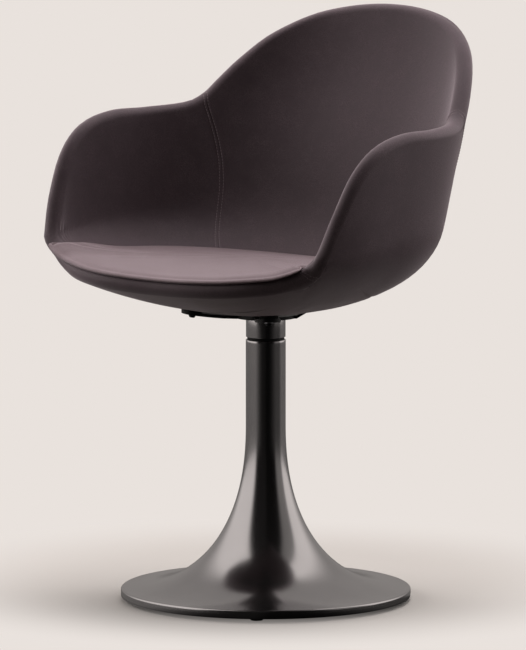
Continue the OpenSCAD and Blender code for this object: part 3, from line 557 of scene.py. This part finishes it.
def swell(piece, turn, brim):
    """Lets cloth under pressure crown the top of the cushion. What lies in the shell stays pinned."""
    mesh = piece.data
    before = np.array([v.co for v in mesh.vertices])
    place = np.degrees(np.arctan2(before[:, 0], -(before[:, 1] - BOWL_Y))) % 360
    brim_r = np.interp(place, turn, np.hypot(brim[:, 0], brim[:, 1] - BOWL_Y), period=360)
    brim_z = np.interp(place, turn, brim[:, 2], period=360)
    r = np.hypot(before[:, 0], before[:, 1] - BOWL_Y)
    on_top = (before[:, 2] > brim_z - HELD_DEPTH) & (r < brim_r - HELD_WIDTH)
    pin = piece.vertex_groups.new(name="held")
    pin.add([int(k) for k in np.flatnonzero(~on_top)], 1.0, "REPLACE")
    cloth = piece.modifiers.new("filling", "CLOTH")
    settings = cloth.settings
    settings.quality = 6
    settings.mass = 0.3
    settings.tension_stiffness = settings.compression_stiffness = 25
    settings.shear_stiffness = 10
    settings.bending_stiffness = 2.0
    settings.use_pressure = True
    settings.uniform_pressure_force = 0.9
    settings.vertex_group_mass = "held"
    settings.effector_weights.gravity = 0
    cloth.collision_settings.use_collision = False
    for step in range(1, SWELL_STEPS + 1):
        scene.frame_set(step)
    shaped = piece.evaluated_get(bpy.context.evaluated_depsgraph_get())
    after = np.array([v.co for v in shaped.data.vertices])
    piece.modifiers.remove(cloth)
    piece.vertex_groups.clear()
    scene.frame_set(1)
    move = after - before
    length = np.linalg.norm(move, axis=1, keepdims=True)
    share = ease((brim_r - r - HELD_WIDTH) / HELD_FADE)[:, None]
    move *= share * CROWN / (CROWN + length)
    mesh.vertices.foreach_set("co", (before + move).ravel())
    mesh.update()


# Stitched seams: direction, step to either side, and the marks between which they are stitched
STITCHED_SEAMS = (SEAM_TURN, STITCH_STEP, 1.15, 3.94), (CORNER_TURN, STITCH_STEP / 2, 2.4, 3.14)
# One stitch: shares of its length, with its height over the leather and its share of the thread's thickness
STITCH_SHARES = np.array([0.0, 0.08, 0.3, 0.7, 0.92, 1.0])
STITCH_HEIGHTS = np.array([-0.35, 0.05, 0.28, 0.28, 0.05, -0.35]) * MM
STITCH_WIDTHS = np.array([0.12, 0.75, 1, 1, 0.75, 0.12])
STITCH_SIDES, STITCH_FLATNESS = 6, 0.8


def stitch_line(points, normals, length=3.6 * MM, gap=0.7 * MM, thick=0.36 * MM, sunk=0.10 * MM):
    """Thread stitches along a line of points that lies on the leather, as lists of points and faces."""
    step = np.linalg.norm(np.diff(points, axis=0), axis=1)
    along = np.append(0, np.cumsum(step))

    def at(s, values):
        return np.stack([np.interp(s, along, values[:, k]) for k in range(3)], -1)

    height, radius = STITCH_HEIGHTS - sunk, STITCH_WIDTHS * thick
    verts, faces = [], []
    sides = range(STITCH_SIDES)
    for start in np.arange(gap, along[-1] - length, length + gap):
        s = start + STITCH_SHARES * length
        p, n = at(s, points), unit(at(s, normals))
        b = unit(np.cross(unit(np.gradient(p, axis=0)), n))
        rings = [[len(verts) + k * STITCH_SIDES + q for q in sides] for k in range(len(s))]
        for k in range(len(s)):
            centre = p[k] + n[k] * height[k]
            for q in sides:
                w = math.tau * q / STITCH_SIDES
                verts.append(centre + radius[k] * (math.cos(w) * b[k] + STITCH_FLATNESS * math.sin(w) * n[k]))
        for low, high in zip(rings, rings[1:]):
            faces += [[low[q], low[q - STITCH_SIDES + 1], high[q - STITCH_SIDES + 1], high[q]] for q in sides]
        faces += [rings[0][::-1], rings[-1]]
    return verts, faces


def column_stitches(turn, beside, marks):
    """Points and directions of a stitch line that keeps a step beside a seam that runs down the shell."""
    rise = flat_seam(abs(beside))
    p = shell_point(turn, beside, marks, 0, rise)
    return p, p - shell_point(turn, beside, marks, 0, rise - 4 * MM)


def seam_stitches():
    """Double rows of stitches along the arm and back seams, and over the rim at the corner seams."""
    verts, faces = [], []

    def add(line):
        v, f = stitch_line(*line)
        faces.extend([[k + len(verts) for k in face] for face in f])
        verts.extend(v)

    for turn, beside, start, end in STITCHED_SEAMS:
        for side in (-beside, beside):
            for place in (turn, 360 - turn):
                add(column_stitches(place, side, np.linspace(start, end, 240)))
    return mesh_piece("seam_stitches", verts, faces)


# Foot and column
COLUMN_R, FOOT_R, FLARE_TOP, COLUMN_TOP = 0.0275, 0.200, 0.245, 0.361
RIM_LOW, RIM_HIGH, WALL = 0.005, 0.017, 0.0025
FLARE_SHARE = 2 / 2.3  # roundness of the trumpet's line
RIM_ROUND, HEM_ROUND = 0.003, 0.0012  # roundings above and below on the foot's rim
TUBE_EDGE = (0.0006, 0), (0.0002, 0.0002), (0, 0.0007)  # rounding of the column's mouth: in and down
TUBE_MARGIN, FLARE_STEPS, FLARE_FEEL = 0.004, 96, 0.004
COLLAR_R, COLLAR_BORE, COLLAR_EDGE = 0.02725, 0.02035, 0.0006


def turned_piece(name, profile, steps=192):
    """A piece turned about the column from its closed profile of (radius, height) points."""
    w = np.linspace(0, math.tau, steps + 1)[:-1]
    prof = np.array(profile)
    points = np.stack([
        prof[:, 0, None] * np.sin(w), COLUMN_Y - prof[:, 0, None] * np.cos(w), prof[:, 1, None] + 0 * w
    ], -1)
    faces = []
    n = len(prof)
    for j in range(n):
        for i in range(steps):
            a, b = j * steps + i, j * steps + (i + 1) % steps
            c, d = (j + 1) % n * steps + (i + 1) % steps, (j + 1) % n * steps + i
            faces.append([a, b, c, d])
    return mesh_piece(name, points.reshape(-1, 3), faces)


def arc(centre, radius, start, end, count):
    """Points of an arc in the profile, angles in degrees."""
    w = np.radians(np.linspace(start, end, count))
    return [(centre[0] + radius * math.cos(k), centre[1] + radius * math.sin(k)) for k in w]


def flare(t):
    """Point of the trumpet's outer line: t is 0 at the foot's rim and 1 at the column."""
    r = FOOT_R - (FOOT_R - COLUMN_R) * math.cos(math.pi / 2 * t) ** FLARE_SHARE
    return r, FLARE_TOP - (FLARE_TOP - RIM_HIGH) * math.sin(math.pi / 2 * t) ** FLARE_SHARE


def trumpet_skin():
    """The spun foot with its rolled rim, the flare and the column's wall."""
    outer = [(COLUMN_R - side, COLUMN_TOP - down) for side, down in TUBE_EDGE]
    outer += [(COLUMN_R, z) for z in np.linspace(COLUMN_TOP - TUBE_MARGIN, FLARE_TOP + TUBE_MARGIN, 12)]
    ts = [0.5 - 0.5 * math.cos(math.pi * k / FLARE_STEPS) for k in range(1, FLARE_STEPS)]
    outer += [p for p in map(flare, ts) if p[0] < FOOT_R - 0.0035]
    outer += arc((FOOT_R - RIM_ROUND, RIM_HIGH - RIM_ROUND), RIM_ROUND, 88, 0, 9)
    outer += [(FOOT_R, RIM_HIGH - 2 * RIM_ROUND), (FOOT_R, RIM_LOW + HEM_ROUND)]
    outer += arc((FOOT_R - HEM_ROUND, RIM_LOW + HEM_ROUND), HEM_ROUND, 0, -90, 5)
    inner = [(FOOT_R - WALL, RIM_LOW), (FOOT_R - WALL, RIM_HIGH - 0.004), (FOOT_R - 0.0045, RIM_HIGH - WALL)]
    inside = []
    for t in ts[4:-4:3]:
        (r0, z0), (r1, z1) = flare(t - FLARE_FEEL), flare(t + FLARE_FEEL)
        d = math.hypot(r1 - r0, z1 - z0)
        r, z = flare(t)
        r, z = r + (z1 - z0) / d * WALL, z - (r1 - r0) / d * WALL
        if r < FOOT_R - 0.006:
            inside.append((r, z))
    inner += sorted(inside, key=lambda p: -p[0])
    inner += [(COLUMN_R - WALL, FLARE_TOP), (COLUMN_R - WALL, COLUMN_TOP)]
    return turned_piece("trumpet_skin", outer + inner)


def turned_ring(name, outer_r, inner_r, low, high, edge):
    """A plain turned ring with rounded edges outside."""
    profile = [(inner_r, low)]
    profile += arc((outer_r - edge, low + edge), edge, -90, 0, 5)
    profile += arc((outer_r - edge, high - edge), edge, 0, 90, 5)
    profile += [(inner_r, high)]
    return turned_piece(name, profile, 128)


# Finishes
def rgb(hex_code):
    """Linear colour of a display colour written as six digits."""
    parts = [int(hex_code[k:k + 2], 16) / 255 for k in (0, 2, 4)]
    return tuple(((v + 0.055) / 1.055) ** 2.4 if v > 0.04045 else v / 12.92 for v in parts) + (1.0,)


VALUE, COLOUR = "NodeSocketFloat", "NodeSocketColor"


def group(name, inputs, outputs):
    """An empty node group. Returns its tree, the values given to it and its output node."""
    tree = bpy.data.node_groups.new(name, "ShaderNodeTree")
    for label, kind, value in inputs:
        tree.interface.new_socket(label, in_out="INPUT", socket_type=kind).default_value = value
    for label, kind in outputs:
        tree.interface.new_socket(label, in_out="OUTPUT", socket_type=kind)
    return tree, tree.nodes.new("NodeGroupInput").outputs, tree.nodes.new("NodeGroupOutput")


def feed(tree, node, sockets):
    """Feeds a node's sockets, named by label or number: another node's output is linked, a value is set."""
    for socket, value in sockets.items():
        if isinstance(value, bpy.types.NodeSocket):
            tree.links.new(value, node.inputs[socket])
        else:
            node.inputs[socket].default_value = value


def put(tree, kind, sockets, **settings):
    """Adds a node with its settings and feeds its sockets."""
    node = tree.nodes.new(kind)
    for key, value in settings.items():
        setattr(node, key, value)
    feed(tree, node, sockets)
    return node


def object_place(tree):
    """The place on a piece."""
    return put(tree, "ShaderNodeTexCoord", {}).outputs["Object"]


def times(tree, a, b):
    """Product of two values."""
    return put(tree, "ShaderNodeMath", {0: a, 1: b}, operation="MULTIPLY").outputs[0]


def vector_node(tree, operation, *sources):
    """A vector node fed with sockets or constants."""
    return put(tree, "ShaderNodeVectorMath", dict(enumerate(sources)), operation=operation)


def mix_shaders(tree, factor, a, b):
    """A mix of two shader nodes."""
    return put(tree, "ShaderNodeMixShader", {0: factor, 1: a.outputs[0], 2: b.outputs[0]})


def noise(tree, place, scale, detail, roughness=0.5):
    """Soft noise of a fineness."""
    sockets = {"Vector": place, "Scale": scale, "Detail": detail, "Roughness": roughness}
    return put(tree, "ShaderNodeTexNoise", sockets).outputs["Fac"]


def spread(tree, value, low, high, start=0.0, end=1.0, how="LINEAR"):
    """A value's change from low to high as it goes from start to end."""
    sockets = {"Value": value, "From Min": start, "From Max": end, "To Min": low, "To Max": high}
    return put(tree, "ShaderNodeMapRange", sockets, interpolation_type=how).outputs[0]


def blend_colours(tree, factor, a, b):
    """A mix of two colours."""
    return put(tree, "ShaderNodeMix", {0: factor, 6: a, 7: b}, data_type="RGBA").outputs[2]


def ramp(tree, source, stops):
    """A colour ramp in greys: stops are (place, grey)."""
    node = put(tree, "ShaderNodeValToRGB", {0: source})
    elements = node.color_ramp.elements
    while len(elements) > 1:
        elements.remove(elements[-1])
    elements[0].position, elements[0].color = stops[0][0], (stops[0][1],) * 3 + (1,)
    for place, grey in stops[1:]:
        elements.new(place).color = (grey,) * 3 + (1,)
    return node.outputs[0]


def leather_grain_group():
    """Fine pebbled grain with shallow creases: height, and a mask of the pores."""
    tree, given, out = group(
        "leather_grain",
        [("Scale", VALUE, 900.0), ("Creases", VALUE, 0.3)],
        [("Height", VALUE), ("Pores", VALUE)],
    )
    place = object_place(tree)
    bend = put(tree, "ShaderNodeTexNoise", {"Vector": place, "Scale": 160.0, "Detail": 2.0})
    shifted = vector_node(tree, "MULTIPLY_ADD", bend.outputs["Color"], (0.0016, 0.0016, 0.0016), place)
    cells = put(tree, "ShaderNodeTexVoronoi", {"Vector": shifted.outputs[0], "Scale": given["Scale"]})
    pores = ramp(tree, cells.outputs["Distance"], [(0.15, 1.0), (0.62, 0.0)])
    crease = ramp(tree, noise(tree, place, 95.0, 5.0, 0.6), [(0.42, 0.0), (0.5, 1.0), (0.58, 0.0)])
    deep = times(tree, crease, given["Creases"])
    height = put(tree, "ShaderNodeMath", {0: pores, 1: deep}, operation="SUBTRACT")
    feed(tree, out, {"Height": height.outputs[0], "Pores": pores})
    return tree


def mottle_group():
    """Slow, soft change between two tones, as in dyed hide."""
    tree, given, out = group(
        "soft_mottle",
        [
            ("Dark", COLOUR, (0, 0, 0, 1)), ("Light", COLOUR, (1, 1, 1, 1)),
            ("Scale", VALUE, 30.0), ("Sharpness", VALUE, 0.5),
        ],
        [("Color", COLOUR), ("Mask", VALUE)],
    )
    slow = noise(tree, object_place(tree), given["Scale"], 6.0, given["Sharpness"])
    mask = ramp(tree, slow, [(0.3, 0.0), (0.7, 1.0)])
    feed(tree, out, {"Color": blend_colours(tree, mask, given["Dark"], given["Light"]), "Mask": mask})
    return tree


def fine_noise_group():
    """Fine speckle for lacquer, cast surfaces and moulded plastic."""
    tree, given, out = group(
        "fine_speckle",
        [("Scale", VALUE, 1500.0), ("Low", VALUE, 0.3), ("High", VALUE, 0.4)],
        [("Value", VALUE), ("Height", VALUE)],
    )
    height = noise(tree, object_place(tree), given["Scale"], 3.0)
    feed(tree, out, {"Value": spread(tree, height, given["Low"], given["High"]), "Height": height})
    return tree


def turned_lines_group():
    """Fine rings left by turning, for bright steel."""
    tree, given, out = group(
        "turned_lines", [("Scale", VALUE, 900.0)],
        [("Value", VALUE), ("Height", VALUE)],
    )
    flat = vector_node(tree, "MULTIPLY", object_place(tree), (0.03, 0.03, 1.0))
    height = noise(tree, flat.outputs[0], given["Scale"], 2.0)
    feed(tree, out, {"Value": spread(tree, height, 0.28, 0.48), "Height": height})
    return tree


def weave_group():
    """Plain weave of fine yarn: height and a mask of the raised yarns."""
    tree, given, out = group(
        "plain_weave", [("Scale", VALUE, 1200.0)],
        [("Height", VALUE), ("Mask", VALUE)],
    )
    sockets = {"Vector": object_place(tree), "Scale": given["Scale"], "Distortion": 0.4}
    waves = [put(tree, "ShaderNodeTexWave", sockets, bands_direction=way).outputs["Fac"] for way in ("X", "Y")]
    height = put(tree, "ShaderNodeMath", dict(enumerate(waves)), operation="MAXIMUM").outputs[0]
    feed(tree, out, {"Height": height, "Mask": height})
    return tree


GRAIN, MOTTLE, SPECKLE = leather_grain_group(), mottle_group(), fine_noise_group()
TURNED, WEAVE = turned_lines_group(), weave_group()


def finish(name):
    """A new material with its Principled shader. Returns the material, its tree and the shader."""
    material = bpy.data.materials.new(name)
    material.use_nodes = True
    tree = material.node_tree
    return material, tree, tree.nodes["Principled BSDF"]


def effect(tree, shared, **values):
    """What a shared effect puts out for its own values."""
    return put(tree, "ShaderNodeGroup", values, node_tree=shared).outputs


def bump(tree, height, strength, distance):
    """The surface's direction where a height is raised on it."""
    node = put(tree, "ShaderNodeBump", {"Height": height, "Strength": strength, "Distance": distance})
    return node.outputs["Normal"]


def leather_finish(name="brown_leather", dark="41363a", light="5a4d51"):
    """Smooth dark leather with fine grain, a slow change of tone and a dull sheen."""
    material, tree, shader = finish(name)
    tone = effect(tree, MOTTLE, Dark=rgb(dark), Light=rgb(light), Scale=38.0, Sharpness=0.62)
    grain = effect(tree, GRAIN, Scale=820.0, Creases=0.25)
    feed(tree, shader, {
        "Base Color": blend_colours(tree, grain["Pores"], rgb(dark), tone["Color"]),
        "Roughness": spread(tree, tone["Mask"], 0.50, 0.60), "Specular IOR Level": 0.3,
        "Sheen Weight": 0.40, "Sheen Roughness": 0.40, "Sheen Tint": rgb("d8c9cd"),
        "Normal": bump(tree, grain["Height"], 0.35, 0.18 * MM),
    })
    return material


def lacquer_finish(name, dark, light, roughness, metallic=0.0):
    """Satin lacquer on steel."""
    material, tree, shader = finish(name)
    tone = effect(tree, MOTTLE, Dark=rgb(dark), Light=rgb(light), Scale=14.0, Sharpness=0.4)
    speck = effect(tree, SPECKLE, Scale=2400.0, Low=roughness - 0.03, High=roughness + 0.03)
    feed(tree, shader, {
        "Base Color": tone["Color"],
        "Roughness": speck["Value"], "Metallic": metallic,
        "Normal": bump(tree, speck["Height"], 0.10, 0.05 * MM),
    })
    return material


def steel_finish(name):
    """Plain turned steel."""
    material, tree, shader = finish(name)
    lines = effect(tree, TURNED, Scale=1400.0)
    feed(tree, shader, {
        "Base Color": blend_colours(tree, lines["Value"], rgb("9a9a9e"), rgb("d2d2d6")),
        "Roughness": lines["Value"], "Metallic": 1.0,
        "Normal": bump(tree, lines["Height"], 0.12, 0.05 * MM),
    })
    return material


def plain_finish(name, dark, light, roughness, scale=900.0, depth=0.08 * MM, metallic=0.0):
    """Cast, moulded or rubber surfaces: a speckled tone and a fine bump."""
    material, tree, shader = finish(name)
    speck = effect(tree, SPECKLE, Scale=scale, Low=roughness - 0.06, High=roughness + 0.06)
    feed(tree, shader, {
        "Base Color": blend_colours(tree, speck["Height"], rgb(dark), rgb(light)),
        "Roughness": speck["Value"], "Metallic": metallic,
        "Normal": bump(tree, speck["Height"], 0.3, depth),
    })
    return material


def cloth_finish(name, dark, light):
    """Plain woven lining."""
    material, tree, shader = finish(name)
    weave = effect(tree, WEAVE, Scale=1300.0)
    feed(tree, shader, {
        "Base Color": blend_colours(tree, weave["Mask"], rgb(dark), rgb(light)),
        "Roughness": 0.85,
        "Normal": bump(tree, weave["Height"], 0.4, 0.2 * MM),
    })
    return material


def wood_finish(name):
    """Moulded plywood with a drawn-out grain."""
    material, tree, shader = finish(name)
    drawn = vector_node(tree, "MULTIPLY", object_place(tree), (1.0, 1.0, 0.08))
    grain = noise(tree, drawn.outputs[0], 130.0, 6.0)
    feed(tree, shader, {
        "Base Color": blend_colours(tree, grain, rgb("a8834f"), rgb("dcc090")),
        "Roughness": 0.6,
        "Normal": bump(tree, grain, 0.2, 0.2 * MM),
    })
    return material


def dress(piece, material):
    """Gives a piece or a node its one material."""
    piece.data.materials.clear()
    piece.data.materials.append(material)


leather = leather_finish()
# Same hide as the shell's leather, given lighter colours: painted light for the strong top light on the
# cushion's top
top_lit_cushion_leather = leather_finish("top_lit_cushion_leather", "5a4c4f", "786a6e")
thread = plain_finish("seam_thread", "6c5e61", "887a7e", 0.7, scale=4000.0, depth=0.1 * MM)
lacquer = lacquer_finish("polished_foot", "c6c4c6", "cfcdcf", 0.19, metallic=1.0)
dark_lacquer = lacquer_finish("black_lacquer", "0d0d0e", "161617", 0.36)
steel = steel_finish("turned_steel")
black_steel = plain_finish("blackened_steel", "101012", "1d1d20", 0.42, scale=1800.0, depth=0.04 * MM,
                           metallic=0.6)
iron = plain_finish("cast_iron", "2a2a2a", "3d3c3b", 0.7, scale=700.0, depth=0.3 * MM)
plastic = plain_finish("glide_plastic", "0e0e0e", "1a1a1a", 0.5)
groove_plastic = plain_finish("groove_plastic", "060606", "0c0c0c", 0.6)
bush_plastic = plain_finish("bush_plastic", "b6a36c", "cdbd8a", 0.45)
rubber = plain_finish("pad_rubber", "0b0b0b", "151515", 0.8, scale=1200.0, depth=0.12 * MM)
lining_cloth = cloth_finish("lining_cloth", "1c1a1c", "312d30")
plywood = wood_finish("moulded_plywood")

NODE_FINISHES = {
    "floor_plate": iron, "glide_feet": plastic, "column_tube": steel, "tube_plug": steel,
    "tie_bolt": black_steel, "tie_washer": steel, "bearing_housing": steel, "lower_bush": bush_plastic,
    "upper_bush": bush_plastic, "thrust_ring": groove_plastic, "spindle": black_steel, "lower_washer": steel,
    "retaining_ring": black_steel, "seat_spider": dark_lacquer, "spider_screws": black_steel,
    "spider_washers": steel, "spacer_pads": rubber, "shell_inserts": steel,
}
for node_name, material in NODE_FINISHES.items():
    dress(nodes[node_name], material)

# Seat
core = shell_layer("moulded_core", 145, CORE_MARKS, off=CORE_SKIN)
dress(core, plywood)
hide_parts("shell_core")
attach(core, "seat")

for panel in leather_panels():
    dress(panel, leather)
    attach(panel, "seat")

lining = shell_layer("seat_lining", 97, LINING_MARKS, rise=-LINING_SUNK)
dress(lining, lining_cloth)
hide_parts("seat_liner")
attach(lining, "seat")

cushion, cushion_turns, cushion_top = seat_cushion()
swell(cushion, cushion_turns, cushion_top)
# the cushion wears the lighter leather, whose colour carries painted top light
dress(cushion, top_lit_cushion_leather)
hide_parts("cushion_cover", "cushion_foam", "cushion_base_cloth")
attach(cushion, "seat")

stitches = seam_stitches()
dress(stitches, thread)
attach(stitches, "seat")

# Foot and collar
trumpet = trumpet_skin()
dress(trumpet, lacquer)
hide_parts("trumpet_base")
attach(trumpet, "base")

low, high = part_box("collar")
collar = turned_ring("collar_sleeve", COLLAR_R, COLLAR_BORE, low.z, high.z, COLLAR_EDGE)
dress(collar, lacquer)
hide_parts("collar")
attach(collar, "seat")

# Camera at the photograph's view
VIEW_DEGREES, VIEW_PITCH, VIEW_DISTANCE, VIEW_HEIGHT = 43, math.radians(6.8994), 8.0, 1.3486
VIEW_ASIDE = 0.0038  # how far the camera stands to the side of the column
VIEW_SIN, VIEW_COS = math.sin(math.radians(VIEW_DEGREES)), math.cos(math.radians(VIEW_DEGREES))
camera_data = bpy.data.cameras.new("camera")
camera_data.lens, camera_data.sensor_width = 324.9, 36.0
camera = bpy.data.objects.new("camera", camera_data)
scene.collection.objects.link(camera)
camera.location = (
    VIEW_DISTANCE * VIEW_SIN - VIEW_ASIDE * VIEW_COS,
    COLUMN_Y - VIEW_DISTANCE * VIEW_COS - VIEW_ASIDE * VIEW_SIN,
    VIEW_HEIGHT,
)
level = math.cos(VIEW_PITCH)
ahead = Vector((-VIEW_SIN * level, VIEW_COS * level, -math.sin(VIEW_PITCH)))
camera.rotation_euler = ahead.to_track_quat("-Z", "Y").to_euler()
scene.camera = camera

# Floor, background and light
BACKDROP = rgb("e9e2dd")
GLOW_SHIFT = 0.16  # how far behind the column the floor's fading into the background is centred
GLOW_START, GLOW_END = 0.24, 0.57
FLOOR_RADII, FLOOR_STEPS = (0.3, 0.8, 1.6, 3.0, 8.0, 20.0), 64

# What polished metal mirrors: level away from a direction and in it, cosines between which it changes, and the
# degrees of that direction beside the view's
ROOM_AHEAD, ROOM_BEHIND = (1.0, 0.012, 0.48, 0.70), (0.36, 1.0, -0.9, -0.5)
ROOM_BESIDE = (1.0, 0.25, 0.68, 0.76, 45)
FLOOR_AHEAD, FLOOR_BESIDE = (0.19, 0.010, 0.45, 0.98), (1.0, 0.32, 0.62, 0.74, 45)

# Lamps: degrees beside the view, height, distance, size, power, and the height that they are aimed at
LAMPS = {
    "left_softbox": (-112, 1.0, 2.1, (1.4, 1.2), 52, 0.3),
    "right_softbox": (97, 1.2, 2.1, (1.6, 2.0), 34, 0.3),
    "top_softbox": (160, 4.4, 1.5, (3.0, 3.0), 330, 0.4),
}


def toward_view(tree, place, away, there, start, end, beside=0):
    """A value that changes between two levels as a direction turns towards the view's, or one beside it."""
    turn = math.radians(VIEW_DEGREES + beside)
    level = vector_node(tree, "MULTIPLY", place, (1.0, 1.0, 0.0))
    flat = vector_node(tree, "NORMALIZE", level.outputs[0])
    facing = vector_node(tree, "DOT_PRODUCT", flat.outputs[0], (math.sin(turn), -math.cos(turn), 0.0))
    return spread(tree, facing.outputs["Value"], away, there, start, end, "SMOOTHSTEP")


def floor_piece():
    """A wide round floor that keeps the chair's soft shadow and fades into the background."""
    steps = range(FLOOR_STEPS)
    verts = [(0.0, COLUMN_Y, 0.0)]
    for r in FLOOR_RADII:
        turns = [math.tau * k / FLOOR_STEPS for k in steps]
        verts += [(r * math.cos(w), COLUMN_Y + r * math.sin(w), 0.0) for w in turns]
    faces = [[0, 1 + k, 1 + (k + 1) % FLOOR_STEPS] for k in steps]
    for first in range(1, len(verts) - FLOOR_STEPS, FLOOR_STEPS):
        for k in steps:
            a, b = first + k, first + (k + 1) % FLOOR_STEPS
            faces.append([a, a + FLOOR_STEPS, b + FLOOR_STEPS, b])
    return mesh_piece("floor", verts, faces, smooth=False)


def floor_finish():
    """Pale floor, whose far part shows the background's own colour."""
    material, tree, shader = finish("pale_floor")
    rays = put(tree, "ShaderNodeLightPath", {}).outputs
    feed(tree, shader, {
        "Base Color": blend_colours(tree, rays["Is Camera Ray"], rgb("5e5a57"), rgb("97918d")),
        "Roughness": 0.9, "Specular IOR Level": 0.1,
    })
    place = object_place(tree)
    centre = (-GLOW_SHIFT * VIEW_SIN, COLUMN_Y + GLOW_SHIFT * VIEW_COS, 0.0)
    away = vector_node(tree, "DISTANCE", place, centre).outputs["Value"]
    faded = spread(tree, away, 0.0, 1.0, GLOW_START, GLOW_END, "SMOOTHSTEP")
    seen = times(tree, faded, rays["Is Camera Ray"])
    plain = mix_shaders(tree, seen, shader, put(tree, "ShaderNodeEmission", {"Color": BACKDROP}))
    outward_place = vector_node(tree, "SUBTRACT", place, (0.0, COLUMN_Y, 0.0)).outputs[0]
    ahead, beside = (toward_view(tree, outward_place, *levels) for levels in (FLOOR_AHEAD, FLOOR_BESIDE))
    mirrored = put(tree, "ShaderNodeEmission", {"Color": BACKDROP, "Strength": times(tree, ahead, beside)})
    both = mix_shaders(tree, rays["Is Glossy Ray"], plain, mirrored)
    feed(tree, tree.nodes["Material Output"], {"Surface": both.outputs[0]})
    return material


floor = floor_piece()
dress(floor, floor_finish())


def softbox(name, beside, height, distance, size, power, aim):
    """A large soft lamp at a direction round the chair, aimed at the chair and left out of reflections."""
    data = bpy.data.lights.new(name, "AREA")
    data.shape = "RECTANGLE"
    data.size, data.size_y = size
    data.energy = power
    lamp = bpy.data.objects.new(name, data)
    scene.collection.objects.link(lamp)
    w = math.radians(VIEW_DEGREES + beside)
    lamp.location = (distance * math.sin(w), COLUMN_Y - distance * math.cos(w), height)
    lamp.rotation_euler = (Vector((0, COLUMN_Y, aim)) - lamp.location).to_track_quat("-Z", "Y").to_euler()
    lamp.visible_glossy = False


for lamp_name, lamp_values in LAMPS.items():
    softbox(lamp_name, *lamp_values)


def studio_world():
    """Pale surroundings: plain as background, in dark and light parts as mirrored, and soft as light."""
    world = bpy.data.worlds.new("studio")
    scene.world = world
    world.use_nodes = True
    tree = world.node_tree
    tree.nodes.clear()
    place = put(tree, "ShaderNodeTexCoord", {}).outputs["Generated"]
    up = put(tree, "ShaderNodeSeparateXYZ", {0: place}).outputs["Z"]
    ahead, behind = toward_view(tree, place, *ROOM_AHEAD), toward_view(tree, place, *ROOM_BEHIND)
    beside = toward_view(tree, place, *ROOM_BESIDE)
    strengths = 1.0, spread(tree, up, 0.07, 0.40, 0.0, 0.8), times(tree, times(tree, ahead, behind), beside)
    seen, fill, mirrored = (
        put(tree, "ShaderNodeBackground", {"Color": BACKDROP, "Strength": strength}) for strength in strengths
    )
    rays = put(tree, "ShaderNodeLightPath", {}).outputs
    unseen = mix_shaders(tree, rays["Is Glossy Ray"], fill, mirrored)
    both = mix_shaders(tree, rays["Is Camera Ray"], unseen, seen)
    put(tree, "ShaderNodeOutputWorld", {"Surface": both.outputs[0]})


studio_world()
scene.view_settings.view_transform = "Standard"
